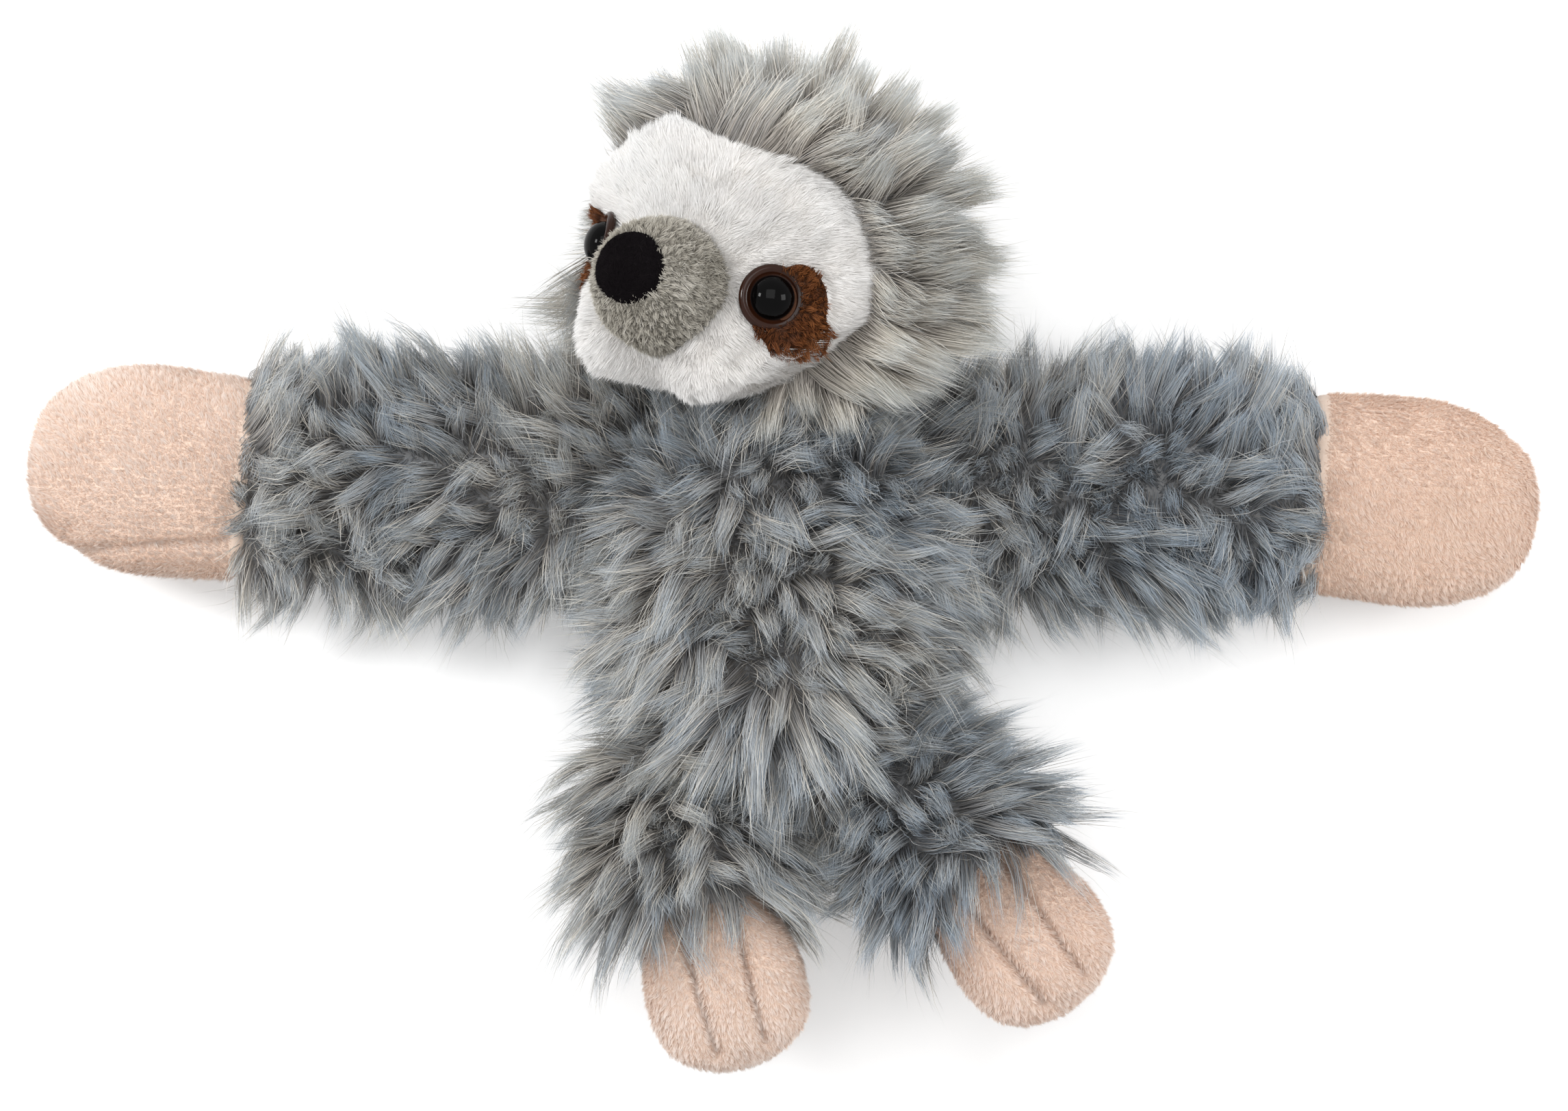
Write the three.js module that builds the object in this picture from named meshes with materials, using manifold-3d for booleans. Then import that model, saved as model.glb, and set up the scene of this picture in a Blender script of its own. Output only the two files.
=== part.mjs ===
// A plush sloth with hugging arms, lying on its back with its arms stretched out.
//
// Millimetres. The origin is the middle of the flat of the back, on the surface the toy lies on:
// +X is the toy's own left, +Y points to the crown of the head and +Z out of the belly.
// A strip of spring steel runs from hand to hand through both arms. It is cut into short links
// here, so that the arms can curl up and hug; every cover is long fur fabric or short velour
// over a body of polyester fibre.
import * as THREE from "three";
import { mergeVertices } from "three/addons/utils/BufferGeometryUtils.js";
import Module from "manifold-3d";

const wasm = await Module();
wasm.setup();

// Fits shared by every piece
const gap = 0.3;
const overrun = 2;
const restGap = 0.6;
const flatDepth = 0.5;
const degree = Math.PI / 180;

// Torso: the sizes are those of the fur's surface
const torsoLength = 88;
const torsoHalfWidth = 37;
const torsoHalfDepth = 29.5;
const torsoBelow = 44;
const furPile = 8;
const torsoShares = [
  [0, 0],
  [0.025, 0.36],
  [0.1, 0.7],
  [0.22, 0.9],
  [0.36, 0.98],
  [0.52, 1],
  [0.66, 0.975],
  [0.8, 0.87],
  [0.93, 0.6],
  [0.98, 0.35],
  [1, 0],
];

// Neck: a ball of fibre between the torso and the head, and how far the head moves on it
const neckRadius = 11;
const neckY = 37;
const neckZ = 34;
const headTurnRange = 20 * degree;
const headNodForward = 10 * degree;
const headNodBack = 5 * degree;

// Head: the half sizes are those of the stuffed head under its covers
const headHalfWidth = 31.5;
const headHalfHeight = 25.5;
const headHalfDepth = 27;
const hoodPile = 9;
const hoodSidePile = 12;
const hoodBackPile = 6;
const hoodSetBack = 5;
const facePile = 2.6;
const headX = -3;
const headRise = 29.3;
const headTurn = -32.7 * degree;
const headNod = 2.9 * degree;
const headTilt = -16.8 * degree;

// Face panel: its outline, seen from straight in front of the face
const faceHalfWidth = 29.6;
const browHalfHeight = 24;
const jawHalfHeight = 24.4;
const browSquareness = 2.2;
const jawSquareness = 1.6;
const faceDrop = 2.8;
const foreheadDip = 2.2;

// Muzzle and nose
const muzzleRadius = 12.4;
const muzzleLength = 20.5;
const muzzlePile = 2;
const muzzleDrop = 8.6;
const muzzleBack = 24;
const muzzleLift = 12 * degree;
const muzzleShares = [
  [0, 1],
  [0.3, 0.99],
  [0.55, 0.9],
  [0.75, 0.76],
  [0.92, 0.54],
  [1, 0.4],
];
const noseRadius = 6.8;
const noseHeight = 4;
const noseRise = 0.8;
const noseShares = [
  [0, 0],
  [0.8, 0],
  [1, 0.3],
  [0.86, 0.72],
  [0.5, 0.95],
  [0, 1],
];

// Eyes: a brown base with a shank, a black lens on it and a locking washer behind the face
const eyeSide = 19.2;
const eyeDrop = 3.9;
const eyeBaseRadius = 5.5;
const eyeBaseThickness = 1.9;
const eyeBaseEdgeShare = 0.92;
const eyeLensRadius = 4.5;
const eyeLensHeight = 3.1;
const eyeShankRadius = 1.5;
const eyeShankLength = 8;
const washerRadius = 4.5;
const washerThickness = 1.4;
const washerSeat = 1.5;

// Eye patches: their corners in shares of the eye base's radius, from the eye's centre
const patchPile = 1.8;
const patchShares = [
  [0.1, 0.95],
  [0.6, 1.25],
  [1.1, 1],
  [1.45, 0.4],
  [1.6, -0.3],
  [1.5, -0.95],
  [0.8, -1.85],
  [0.45, -1.3],
  [-0.1, -0.8],
  [-0.2, 0.1],
];

// Slap band, arched like a steel tape, and how far it reaches into each hand
const bandLength = 230;
const bandWidth = 25;
const bandThickness = 0.5;
const bandArch = 2.6;
const bandInHand = 12;

// Arms: the sleeve's sizes are those of the fur's surface, and the hinges are in the band
const armY = 22.5;
const sleeveHalfWidth = 25;
const sleeveHalfDepth = 17;
const sleevePile = 6.8;
const sleeveSquareness = 2.3;
const shoulderX = 32;
const wristX = bandLength / 2 - bandInHand;
const sleeveCount = 3;
const curlPerHinge = 40 * degree;
const sleeveShares = [
  [0, 0.95],
  [0.5, 1],
  [1, 0.98],
];

// Hands
const handReach = { left: 43.2, right: 41.8 };
const handRoot = 3;
const handSwing = 6.5 * degree;
const handHalfWidth = 20.6;
const handHalfDepth = 12;
const handSquareness = 2.5;
const velourThickness = 1.6;
const handShares = [
  [0, 0.94],
  [0.3, 0.99],
  [0.52, 1],
  [0.72, 0.89],
  [0.86, 0.7],
  [0.95, 0.45],
  [1, 0],
];

// Legs: the sizes are those of the fur's surface
const hipX = 19;
const hipBelow = 31;
const hipZ = 26;
const legLength = 48;
const legHalfWidth = 23;
const legRootLength = 12;
const legLift = 15 * degree;
const leftLegSplay = 44 * degree;
const rightLegSplay = 12 * degree;
const legSwingUp = 35 * degree;
const legSwingDown = 10 * degree;
const crotchX = 8.5;
const legShares = [
  [0, 0],
  [0.05, 0.3],
  [0.16, 0.54],
  [0.36, 0.78],
  [0.6, 0.96],
  [0.8, 1],
  [1, 0.9],
];

// Feet, each with three toes marked by two stitched lines
const footLength = 37;
const footHalfWidth = 15.4;
const footHalfDepth = 9.6;
const footSquareness = 2.4;
const footRootLength = 6;
const ankleAlong = 29;
const footDip = 3 * degree;
const leftFootSplay = 38 * degree;
const rightFootSplay = 16 * degree;
const footSwing = 18 * degree;
const footShares = [
  [0, 0.5],
  [0.12, 0.68],
  [0.3, 0.88],
  [0.55, 1],
  [0.78, 0.93],
  [0.91, 0.68],
  [0.98, 0.34],
  [1, 0],
];
const toeSeamWidth = 1.3;
const toeSeamDepth = 0.9;
const toeSeamStartShare = 0.34;
const toeSeamEndShare = 0.82;
const toeSeamSideShare = 0.36;

// How finely round things are drawn
const bodySides = 18;
const bodySteps = 10;
const limbSides = 14;
const limbSteps = 6;
const smallSides = 10;
const lensSteps = 3;
const outlinePoints = 20;
const bandSteps = 4;
const sweepSides = 10;
const sweepRings = 4;
const sweepSteps = 2;

const materials = {
  fur: new THREE.MeshStandardMaterial({ color: "#7f878c", roughness: 0.95 }),
  face: new THREE.MeshStandardMaterial({ color: "#f4f2ef", roughness: 0.95 }),
  muzzle: new THREE.MeshStandardMaterial({ color: "#a5a69f", roughness: 0.95 }),
  patch: new THREE.MeshStandardMaterial({ color: "#6b3a1c", roughness: 0.95 }),
  velour: new THREE.MeshStandardMaterial({ color: "#efc3a5", roughness: 0.9 }),
  felt: new THREE.MeshStandardMaterial({ color: "#121214", roughness: 1 }),
  eyeBrown: new THREE.MeshStandardMaterial({ color: "#2c1810", roughness: 0.15 }),
  eyeBlack: new THREE.MeshStandardMaterial({ color: "#050505", roughness: 0.05 }),
  plastic: new THREE.MeshStandardMaterial({ color: "#e8e6e0", roughness: 0.5 }),
  fibre: new THREE.MeshStandardMaterial({ color: "#f7f7f5", roughness: 1 }),
  steel: new THREE.MeshStandardMaterial({ color: "#b9bcc0", roughness: 0.35, metalness: 1 }),
};

const xAxis = new THREE.Vector3(1, 0, 0);
const yAxis = new THREE.Vector3(0, 1, 0);
const zAxis = new THREE.Vector3(0, 0, 1);

// A closed three.js geometry as a solid that can be cut and joined.
function solidOf(geometry) {
  const bare = geometry.clone();
  bare.deleteAttribute("normal");
  bare.deleteAttribute("uv");
  const merged = mergeVertices(bare);
  return new wasm.Manifold(
    new wasm.Mesh({
      numProp: 3,
      vertProperties: merged.attributes.position.array,
      triVerts: new Uint32Array(merged.index.array),
    }),
  );
}

function geometryOf(solid) {
  const mesh = solid.getMesh();
  const positions = new Float32Array(mesh.numVert * 3);
  for (let i = 0; i < mesh.numVert; i++) {
    const first = i * mesh.numProp;
    positions.set(mesh.vertProperties.subarray(first, first + 3), i * 3);
  }
  const geometry = new THREE.BufferGeometry();
  geometry.setAttribute("position", new THREE.BufferAttribute(positions, 3));
  geometry.setIndex(new THREE.BufferAttribute(mesh.triVerts, 1));
  geometry.computeVertexNormals();
  return geometry;
}

// A cut can leave slivers, and the piece is the largest body.
function largestBody(solid) {
  return solid.decompose().sort((a, b) => b.volume() - a.volume())[0];
}

// One point of a rounded outline: squareness 2 is an ellipse, and more is squarer.
function roundedPoint(angle, halfWidth, halfDepth, squareness) {
  const power = 2 / squareness;
  const c = Math.cos(angle);
  const s = Math.sin(angle);
  return [
    Math.sign(c) * Math.abs(c) ** power * halfWidth,
    Math.sign(s) * Math.abs(s) ** power * halfDepth,
  ];
}

// A stuffed form along +Z that swells and tapers, with its surface moved out by a distance, or in
// by a negative one. Its shares hold [along, across] pairs, and an end of share 0 is closed
// round. An open end runs on past the form, so that what is cut with it stays open there.
function swell(form, out = 0, openStart = false, openEnd = false) {
  const { shares, sides, steps, squareness = 2 } = form;
  const start = openStart ? -overrun : -out;
  const end = form.length + (openEnd ? overrun : out);
  const profile = new THREE.SplineCurve(shares.map(([along, across]) => new THREE.Vector2(along, across)));
  const rings = profile.getPoints(steps).filter(({ y: across }) => across > 0);
  const points = [0, 0, start];
  for (const { x: along, y: across } of rings) {
    for (let j = 0; j < sides; j++) {
      const angle = (2 * Math.PI * j) / sides;
      const halfWidth = (form.halfWidth + out) * across;
      const halfDepth = (form.halfDepth + out) * across;
      points.push(...roundedPoint(angle, halfWidth, halfDepth, squareness), start + along * (end - start));
    }
  }
  points.push(0, 0, end);
  const tip = points.length / 3 - 1;
  const faces = [];
  for (let j = 0; j < sides; j++) {
    const next = (j + 1) % sides;
    faces.push(0, 1 + next, 1 + j);
    for (let i = 0; i + 1 < rings.length; i++) {
      const low = 1 + i * sides;
      const high = low + sides;
      faces.push(low + j, low + next, high + next, low + j, high + next, high + j);
    }
    faces.push(tip, tip - sides + j, tip - sides + next);
  }
  const geometry = new THREE.BufferGeometry();
  geometry.setAttribute("position", new THREE.Float32BufferAttribute(points, 3));
  geometry.setIndex(faces);
  return solidOf(geometry);
}

// The same form drawn coarser for a cut, and moved out so that the fine one fits inside it with a
// running gap.
function clearance(form) {
  const flats = form.halfWidth / Math.cos(Math.PI / sweepSides) - form.halfWidth;
  return swell({ ...form, sides: sweepSides, steps: sweepRings }, flats + 3 * gap);
}

function ball(radius) {
  return solidOf(new THREE.SphereGeometry(radius, limbSides, limbSteps));
}

// A turned piece on +Z from [radius, height] pairs that start and end on the axis.
function turned(profile, sides = smallSides) {
  const points = profile.map(([radius, height]) => new THREE.Vector2(radius, height));
  return solidOf(new THREE.LatheGeometry(points, sides)).rotate([90, 0, 0]);
}

function cylinder(radius, from, to) {
  return turned([[0, from], [radius, from], [radius, to], [0, to]]);
}

// A prism on +Z over a closed outline of [x, y] pairs.
function prism(outline, length) {
  const shape = new THREE.Shape(outline.map(([x, y]) => new THREE.Vector2(x, y)));
  return solidOf(new THREE.ExtrudeGeometry(shape, { depth: length, bevelEnabled: false }));
}

// A place on the toy: a group at a point, whose own +Z looks along a direction.
function place(position, direction, up = zAxis) {
  const group = new THREE.Group();
  group.position.copy(position);
  group.up.copy(up);
  group.lookAt(position.clone().add(direction));
  group.updateMatrixWorld(true);
  return group;
}

// The same for a place that is given on another one.
function placeOn(parent, position, direction, up) {
  const group = new THREE.Group();
  const local = place(position, direction, up);
  group.applyMatrix4(parent.matrixWorld.clone().multiply(local.matrixWorld));
  group.updateMatrixWorld(true);
  return group;
}

const laid = (solid, group) => solid.transform(group.matrixWorld.elements);

// Every stand that a solid takes while it turns about an axis through a pivot, as one solid.
function swept(solid, pivot, axis, from, to, steps = sweepSteps) {
  const stands = [];
  for (let i = 0; i <= steps; i++) {
    const angle = from + ((to - from) * i) / steps;
    const move = new THREE.Matrix4().makeTranslation(pivot);
    move.multiply(new THREE.Matrix4().makeRotationAxis(axis, angle));
    move.multiply(new THREE.Matrix4().makeTranslation(pivot.clone().negate()));
    stands.push(solid.transform(move.elements));
  }
  return wasm.Manifold.union(stands);
}

// The two panels of a cover, parted along a seam in a plane through a point.
function panels(cover, normal, point) {
  const offset = normal.dot(point);
  return [
    cover.trimByPlane(normal.toArray(), offset + gap / 2),
    cover.trimByPlane(normal.clone().negate().toArray(), gap / 2 - offset),
  ];
}

const sloth = new THREE.Group();
sloth.name = "plush_sloth";

// A piece is cut out where it lies in the toy, and hangs in the group that gives its place.
function addPiece(group, name, solid, material) {
  const inverse = group.matrixWorld.clone().invert();
  const mesh = new THREE.Mesh(geometryOf(largestBody(solid).transform(inverse.elements)), material);
  mesh.name = name;
  group.add(mesh);
  if (group !== sloth && !group.parent) sloth.add(group);
}

// Head

// An ellipsoid in the head, given by its half sizes and by how far it is set back.
function roundHead(halfSizes, setBack = 0, sides = bodySides) {
  const sphere = solidOf(new THREE.SphereGeometry(1, sides, sides / 2));
  return laid(sphere.scale(halfSizes).translate([0, 0, -setBack]), headPlace);
}

// The hood is set back from the face, so that its pile is thin round the face.
const coreHalfSizes = [headHalfWidth, headHalfHeight, headHalfDepth];
const hoodHalfSizes = [
  headHalfWidth + gap + hoodSidePile,
  headHalfHeight + gap + hoodPile,
  headHalfDepth + gap + hoodBackPile,
];
const hoodShape = (grow = 1, out = 0, sides = bodySides) =>
  roundHead(hoodHalfSizes.map((half) => half * grow + out), hoodSetBack, sides);
const aroundCore = (thickness) => roundHead(coreHalfSizes.map((half) => half + thickness));
const faceSurface = facePile + gap;

// The head lies on the table at the back of its hood, so its height follows from its turn.
const headPlace = new THREE.Group();
headPlace.rotation.set(headNod, headTurn, headTilt, "YXZ");
headPlace.updateMatrixWorld(true);
const upInHead = zAxis.clone().transformDirection(headPlace.matrixWorld.clone().invert());
const hoodReach = upInHead.clone().multiply(new THREE.Vector3(...hoodHalfSizes)).length();
headPlace.position.set(headX, neckY + headRise, hoodReach + upInHead.z * hoodSetBack - flatDepth);
headPlace.updateMatrixWorld(true);

const neckPivot = new THREE.Vector3(0, neckY, neckZ);
const flatsOfBall = Math.cos(Math.PI / limbSides) * Math.cos(Math.PI / 2 / limbSteps);
const neckSocket = ball((neckRadius + gap) / flatsOfBall).translate(neckPivot.toArray());
const pastHood = headHalfDepth + hoodPile + overrun;

// A prism through the front of the head, over an outline seen from in front of the face.
const throughFace = (outline) => laid(prism(outline, pastHood), headPlace);

// The face panel's outline, grown by a margin: full at the brow, with a dip at the hairline, and
// narrow at the jaw.
function faceOutline(margin) {
  const outline = [];
  for (let i = 0; i < outlinePoints; i++) {
    const angle = (2 * Math.PI * i) / outlinePoints;
    const [halfHeight, squareness] = Math.sin(angle) > 0
      ? [browHalfHeight, browSquareness]
      : [jawHalfHeight, jawSquareness];
    const [x, y] = roundedPoint(angle, faceHalfWidth + margin, halfHeight + margin, squareness);
    const dip = foreheadDip * Math.max(0, Math.sin(angle)) * Math.cos(2 * angle) ** 2;
    outline.push([x, y - faceDrop - dip]);
  }
  return outline;
}

// The patch's outline behind an eye, as a smooth curve through its corners.
function patchOutline(side, margin) {
  const corners = patchShares.map(([x, y]) => new THREE.Vector2(
    side * (eyeSide + x * eyeBaseRadius),
    y * eyeBaseRadius - eyeDrop,
  ));
  const middle = corners.reduce((sum, corner) => sum.clone().add(corner)).divideScalar(corners.length);
  const curve = new THREE.SplineCurve([...corners, corners[0]]);
  const points = curve.getPoints(corners.length * 2).slice(0, -1);
  const outline = points.map((point) => {
    const spoke = point.clone().sub(middle);
    return middle.clone().add(spoke.setLength(spoke.length() + margin)).toArray();
  });
  return side > 0 ? outline.reverse() : outline;
}

// Where an eye sits on the face, looking straight out of it.
function eyePlace(side) {
  const [a, b, c] = coreHalfSizes.map((half) => half + faceSurface);
  const x = side * eyeSide;
  const y = -eyeDrop;
  const z = c * Math.sqrt(1 - (x / a) ** 2 - (y / b) ** 2);
  const outwards = new THREE.Vector3(x / a ** 2, y / b ** 2, z / c ** 2).normalize();
  return placeOn(headPlace, new THREE.Vector3(x, y, z), outwards, yAxis);
}

// The eye's base and shank, grown by a margin where it is a cut.
function eyeBase(margin) {
  const radius = eyeBaseRadius + margin;
  const shank = eyeShankRadius + margin;
  const front = eyeBaseThickness + margin;
  return turned([
    [0, -eyeShankLength - margin],
    [shank, -eyeShankLength - margin],
    [shank, gap - margin],
    [radius * eyeBaseEdgeShare, gap - margin],
    [radius, eyeBaseThickness / 2],
    [radius * eyeBaseEdgeShare, front],
    [0, front],
  ]);
}

function eyeLens() {
  const profile = [[0, 0]];
  for (let i = 0; i < lensSteps; i++) {
    const angle = (Math.PI / 2) * (i / lensSteps);
    profile.push([eyeLensRadius * Math.cos(angle), eyeLensHeight * Math.sin(angle)]);
  }
  profile.push([0, eyeLensHeight]);
  return turned(profile).translate([0, 0, eyeBaseThickness + gap]);
}

// The washer lies behind the face panel, in a recess in the fibre.
function eyeWasher() {
  const front = -facePile - washerSeat;
  const disc = cylinder(washerRadius, front - washerThickness, front);
  return disc.subtract(cylinder(eyeShankRadius + gap, -eyeShankLength, 0));
}

const muzzleForm = {
  length: muzzleLength,
  halfWidth: muzzleRadius,
  halfDepth: muzzleRadius,
  shares: muzzleShares,
  sides: limbSides,
  steps: limbSteps,
};

function buildMuzzle() {
  const root = new THREE.Vector3(0, -muzzleDrop, muzzleBack);
  const at = placeOn(headPlace, root, new THREE.Vector3(0, Math.sin(muzzleLift), Math.cos(muzzleLift)), yAxis);
  const onFace = aroundCore(faceSurface + gap);
  const cover = swell(muzzleForm).subtract(swell(muzzleForm, -muzzlePile, true));
  const filling = swell(muzzleForm, -muzzlePile - gap, true);
  addPiece(at, "muzzle_cover", laid(cover, at).subtract(onFace), materials.muzzle);
  addPiece(at, "muzzle_stuffing", laid(filling, at).subtract(onFace), materials.fibre);

  const profile = noseShares.map(([across, along]) => [across * noseRadius, along * noseHeight]);
  const pad = turned(profile, limbSides).translate([0, noseRise, muzzleLength - noseHeight / 2]);
  addPiece(at, "nose", laid(pad.subtract(swell(muzzleForm, gap)), at), materials.felt);
}

function buildHead() {
  const core = aroundCore(0);
  const inside = aroundCore(gap);
  let hood = hoodShape().subtract(inside).subtract(throughFace(faceOutline(gap)));
  let face = aroundCore(faceSurface).subtract(inside).intersect(throughFace(faceOutline(0)));
  let fibre = core.subtract(neckSocket);
  hood = hood.subtract(neckSocket).trimByPlane([0, 0, 1], 0);
  face = face.subtract(neckSocket);

  const patchSkin = aroundCore(faceSurface + gap + patchPile).subtract(aroundCore(faceSurface + gap));
  const underHood = aroundCore(faceSurface + patchPile + 2 * gap);
  for (const [side, sign] of [["left", 1], ["right", -1]]) {
    const at = eyePlace(sign);
    const hole = laid(eyeBase(gap), at);
    const recess = laid(cylinder(washerRadius + gap, -eyeShankLength - 2 * gap, 0), at);
    const patch = patchSkin.intersect(throughFace(patchOutline(sign, 0))).subtract(hole);
    fibre = fibre.subtract(recess);
    face = face.subtract(hole);
    hood = hood.subtract(underHood.intersect(throughFace(patchOutline(sign, gap))));
    addPiece(at, `eye_base_${side}`, laid(eyeBase(0), at), materials.eyeBrown);
    addPiece(at, `eye_lens_${side}`, laid(eyeLens(), at), materials.eyeBlack);
    addPiece(at, `eye_washer_${side}`, laid(eyeWasher(), at), materials.plastic);
    addPiece(headPlace, `eye_patch_${side}`, patch, materials.patch);
  }

  const across = xAxis.clone().transformDirection(headPlace.matrixWorld);
  const [left, right] = panels(hood, across, headPlace.position);
  addPiece(headPlace, "hood_left", left, materials.fur);
  addPiece(headPlace, "hood_right", right, materials.fur);
  addPiece(headPlace, "face_panel", face, materials.face);
  addPiece(headPlace, "head_stuffing", fibre, materials.fibre);
}

// The hood in every stand that the neck allows, with a running gap round it.
function headSweep() {
  const around = hoodShape(1 / Math.cos(Math.PI / sweepSides), 2 * gap, sweepSides);
  const nods = swept(around, neckPivot, xAxis, -headNodBack, headNodForward, 1);
  return swept(nods, neckPivot, yAxis, -headTurnRange, headTurnRange);
}

// Arms

const armMiddle = new THREE.Vector3(0, armY, sleeveHalfDepth + restGap);
const armPlaces = { left: new THREE.Group(), right: new THREE.Group() };
armPlaces.right.rotation.z = Math.PI;
for (const group of Object.values(armPlaces)) {
  group.position.copy(armMiddle);
  group.updateMatrixWorld(true);
}

// A form on +Z laid along the arm: its width lies along the toy and its depth upwards.
const alongArm = (solid, from) => solid.rotate([0, 90, 0]).rotate([90, 0, 0]).translate([from, 0, 0]);

const sleeveLength = wristX - shoulderX;
const sleeveForm = {
  length: sleeveLength,
  halfWidth: sleeveHalfWidth,
  halfDepth: sleeveHalfDepth,
  shares: sleeveShares,
  squareness: sleeveSquareness,
  sides: limbSides,
  steps: 2,
};
const handForm = {
  halfWidth: handHalfWidth,
  halfDepth: handHalfDepth,
  shares: handShares,
  squareness: handSquareness,
  sides: limbSides,
  steps: limbSteps,
};
const hingeX = (i) => shoulderX + (sleeveLength * i) / sleeveCount;

// What lies on the far side of a hinge, or on the near side where side is -1. On the inside of
// the curl it is drawn back from the hinge by half the hinge's angle, so that the curl can close.
function besideHinge(solid, hinge, side, notched) {
  const square = solid.trimByPlane([side, 0, 0], side * hinge + gap / 2);
  if (!notched) return square;
  const lean = curlPerHinge / 2 + degree;
  const normal = [side * Math.cos(lean), 0, -Math.sin(lean)];
  return square.trimByPlane(normal, Math.cos(lean) * (side * hinge + gap / 2));
}

// One stretch of the arm between two hinges.
function stretch(solid, i, notched) {
  return besideHinge(besideHinge(solid, hingeX(i), 1, notched), hingeX(i + 1), -1, notched);
}

// The band's arched section over a stretch of the arm, grown by a margin where it is a cut.
function band(from, to, margin = 0) {
  const radius = (bandWidth ** 2 / 4 + bandArch ** 2) / (2 * bandArch);
  const reach = Math.asin((bandWidth / 2 + margin) / radius);
  const outline = [];
  for (const [arcRadius, way] of [[radius + margin, 1], [radius - bandThickness - margin, -1]]) {
    for (let i = 0; i <= bandSteps; i++) {
      const angle = way * reach * (1 - (2 * i) / bandSteps);
      outline.push([arcRadius * Math.sin(angle), arcRadius * Math.cos(angle) - radius]);
    }
  }
  return prism(outline, to - from).rotate([90, 0, 0]).rotate([0, 0, 90]).translate([from, 0, 0]);
}

const bandSlot = band(-bandLength / 2 - gap, bandLength / 2 + gap, gap);
const armFibre = alongArm(swell(sleeveForm, -sleevePile - gap, true, true), shoulderX);

function buildArm(side) {
  const at = armPlaces[side];
  const put = (name, solid, material) => addPiece(at, `${name}_${side}`, laid(solid, at), material);
  const bore = alongArm(swell(sleeveForm, -sleevePile, true, true), shoulderX);
  const sleeve = alongArm(swell(sleeveForm), shoulderX).subtract(bore);
  const fibre = armFibre.subtract(bandSlot);
  for (let i = 0; i < sleeveCount; i++) {
    put(`sleeve_${i + 1}`, stretch(sleeve, i, false), materials.fur);
    put(`arm_fibre_${i + 1}`, stretch(fibre, i, true), materials.fibre);
    put(`slap_band_${i + 1}`, band(hingeX(i) + gap / 2, hingeX(i + 1) - gap / 2), materials.steel);
  }
  put("slap_band_hand", band(wristX + gap / 2, bandLength / 2), materials.steel);

  // The hand starts behind the wrist and is turned there, so that its open end is cut off square.
  const length = handReach[side] + handRoot;
  const form = (out, open) => alongArm(swell({ ...handForm, length }, out, open), -handRoot)
    .rotate([0, 0, -handSwing / degree])
    .translate([wristX, 0, 0]);
  const cover = form(0, false).subtract(form(-velourThickness, true));
  const filling = form(-velourThickness - gap, true).subtract(bandSlot);
  const origin = new THREE.Vector3();
  const [palm, back] = panels(besideHinge(cover, wristX, 1, true), zAxis, origin);
  put("hand_palm", palm, materials.velour);
  put("hand_back", back, materials.velour);
  put("hand_fibre", besideHinge(filling, wristX, 1, true), materials.fibre);
}

// What the torso leaves free for an arm: the sleeve at rest, and the first fibre link as it curls.
function armSweep(side) {
  const outer = besideHinge(alongArm(swell(sleeveForm, gap, true), shoulderX), shoulderX - gap, 1, false);
  const link = stretch(armFibre, 0, true).translate([-gap, 0, 0]);
  const curl = swept(link, new THREE.Vector3(shoulderX, 0, 0), yAxis, 0, -curlPerHinge);
  return laid(outer.add(curl.add(curl.translate([0, gap, 0])).add(curl.translate([0, -gap, 0]))), armPlaces[side]);
}

// Legs and feet

const legForm = {
  length: legLength,
  halfWidth: legHalfWidth,
  halfDepth: legHalfWidth,
  shares: legShares,
  sides: limbSides,
  steps: limbSteps,
};
const footForm = {
  length: footLength,
  halfWidth: footHalfWidth,
  halfDepth: footHalfDepth,
  shares: footShares,
  squareness: footSquareness,
  sides: limbSides,
  steps: limbSteps,
};

function limbDirection(splay, lift) {
  return new THREE.Vector3(
    Math.sin(splay) * Math.cos(lift),
    -Math.cos(splay) * Math.cos(lift),
    Math.sin(lift),
  );
}

function legPlaces(side, legSplay, footSplay) {
  const direction = limbDirection(legSplay, legLift);
  const hip = new THREE.Vector3(side * hipX, -hipBelow, hipZ);
  const ankle = hip.clone().addScaledVector(direction, ankleAlong);
  return {
    side,
    hip,
    ankle,
    leg: place(hip, direction),
    foot: place(ankle, limbDirection(footSplay, -footDip)),
    ankleAxis: new THREE.Vector3(Math.cos(footSplay), Math.sin(footSplay), 0),
  };
}

const legs = {
  left: legPlaces(1, leftLegSplay, leftFootSplay),
  right: legPlaces(-1, rightLegSplay, rightFootSplay),
};

// Both limbs start behind their joint, by the length of their root.
const inLeg = (solid, { leg }) => laid(solid.translate([0, 0, -legRootLength]), leg);
const inFoot = (solid, { foot }) => laid(solid.translate([0, 0, -footRootLength]), foot);

// A leg stays on its own side of the plane where the two legs press on each other.
const onOwnSide = (solid, { side }) => solid.trimByPlane([side, 0, 0], side * crotchX + gap / 2);

const legSweep = (at) => swept(inLeg(clearance(legForm), at), at.hip, xAxis, -legSwingUp, legSwingDown);

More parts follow.
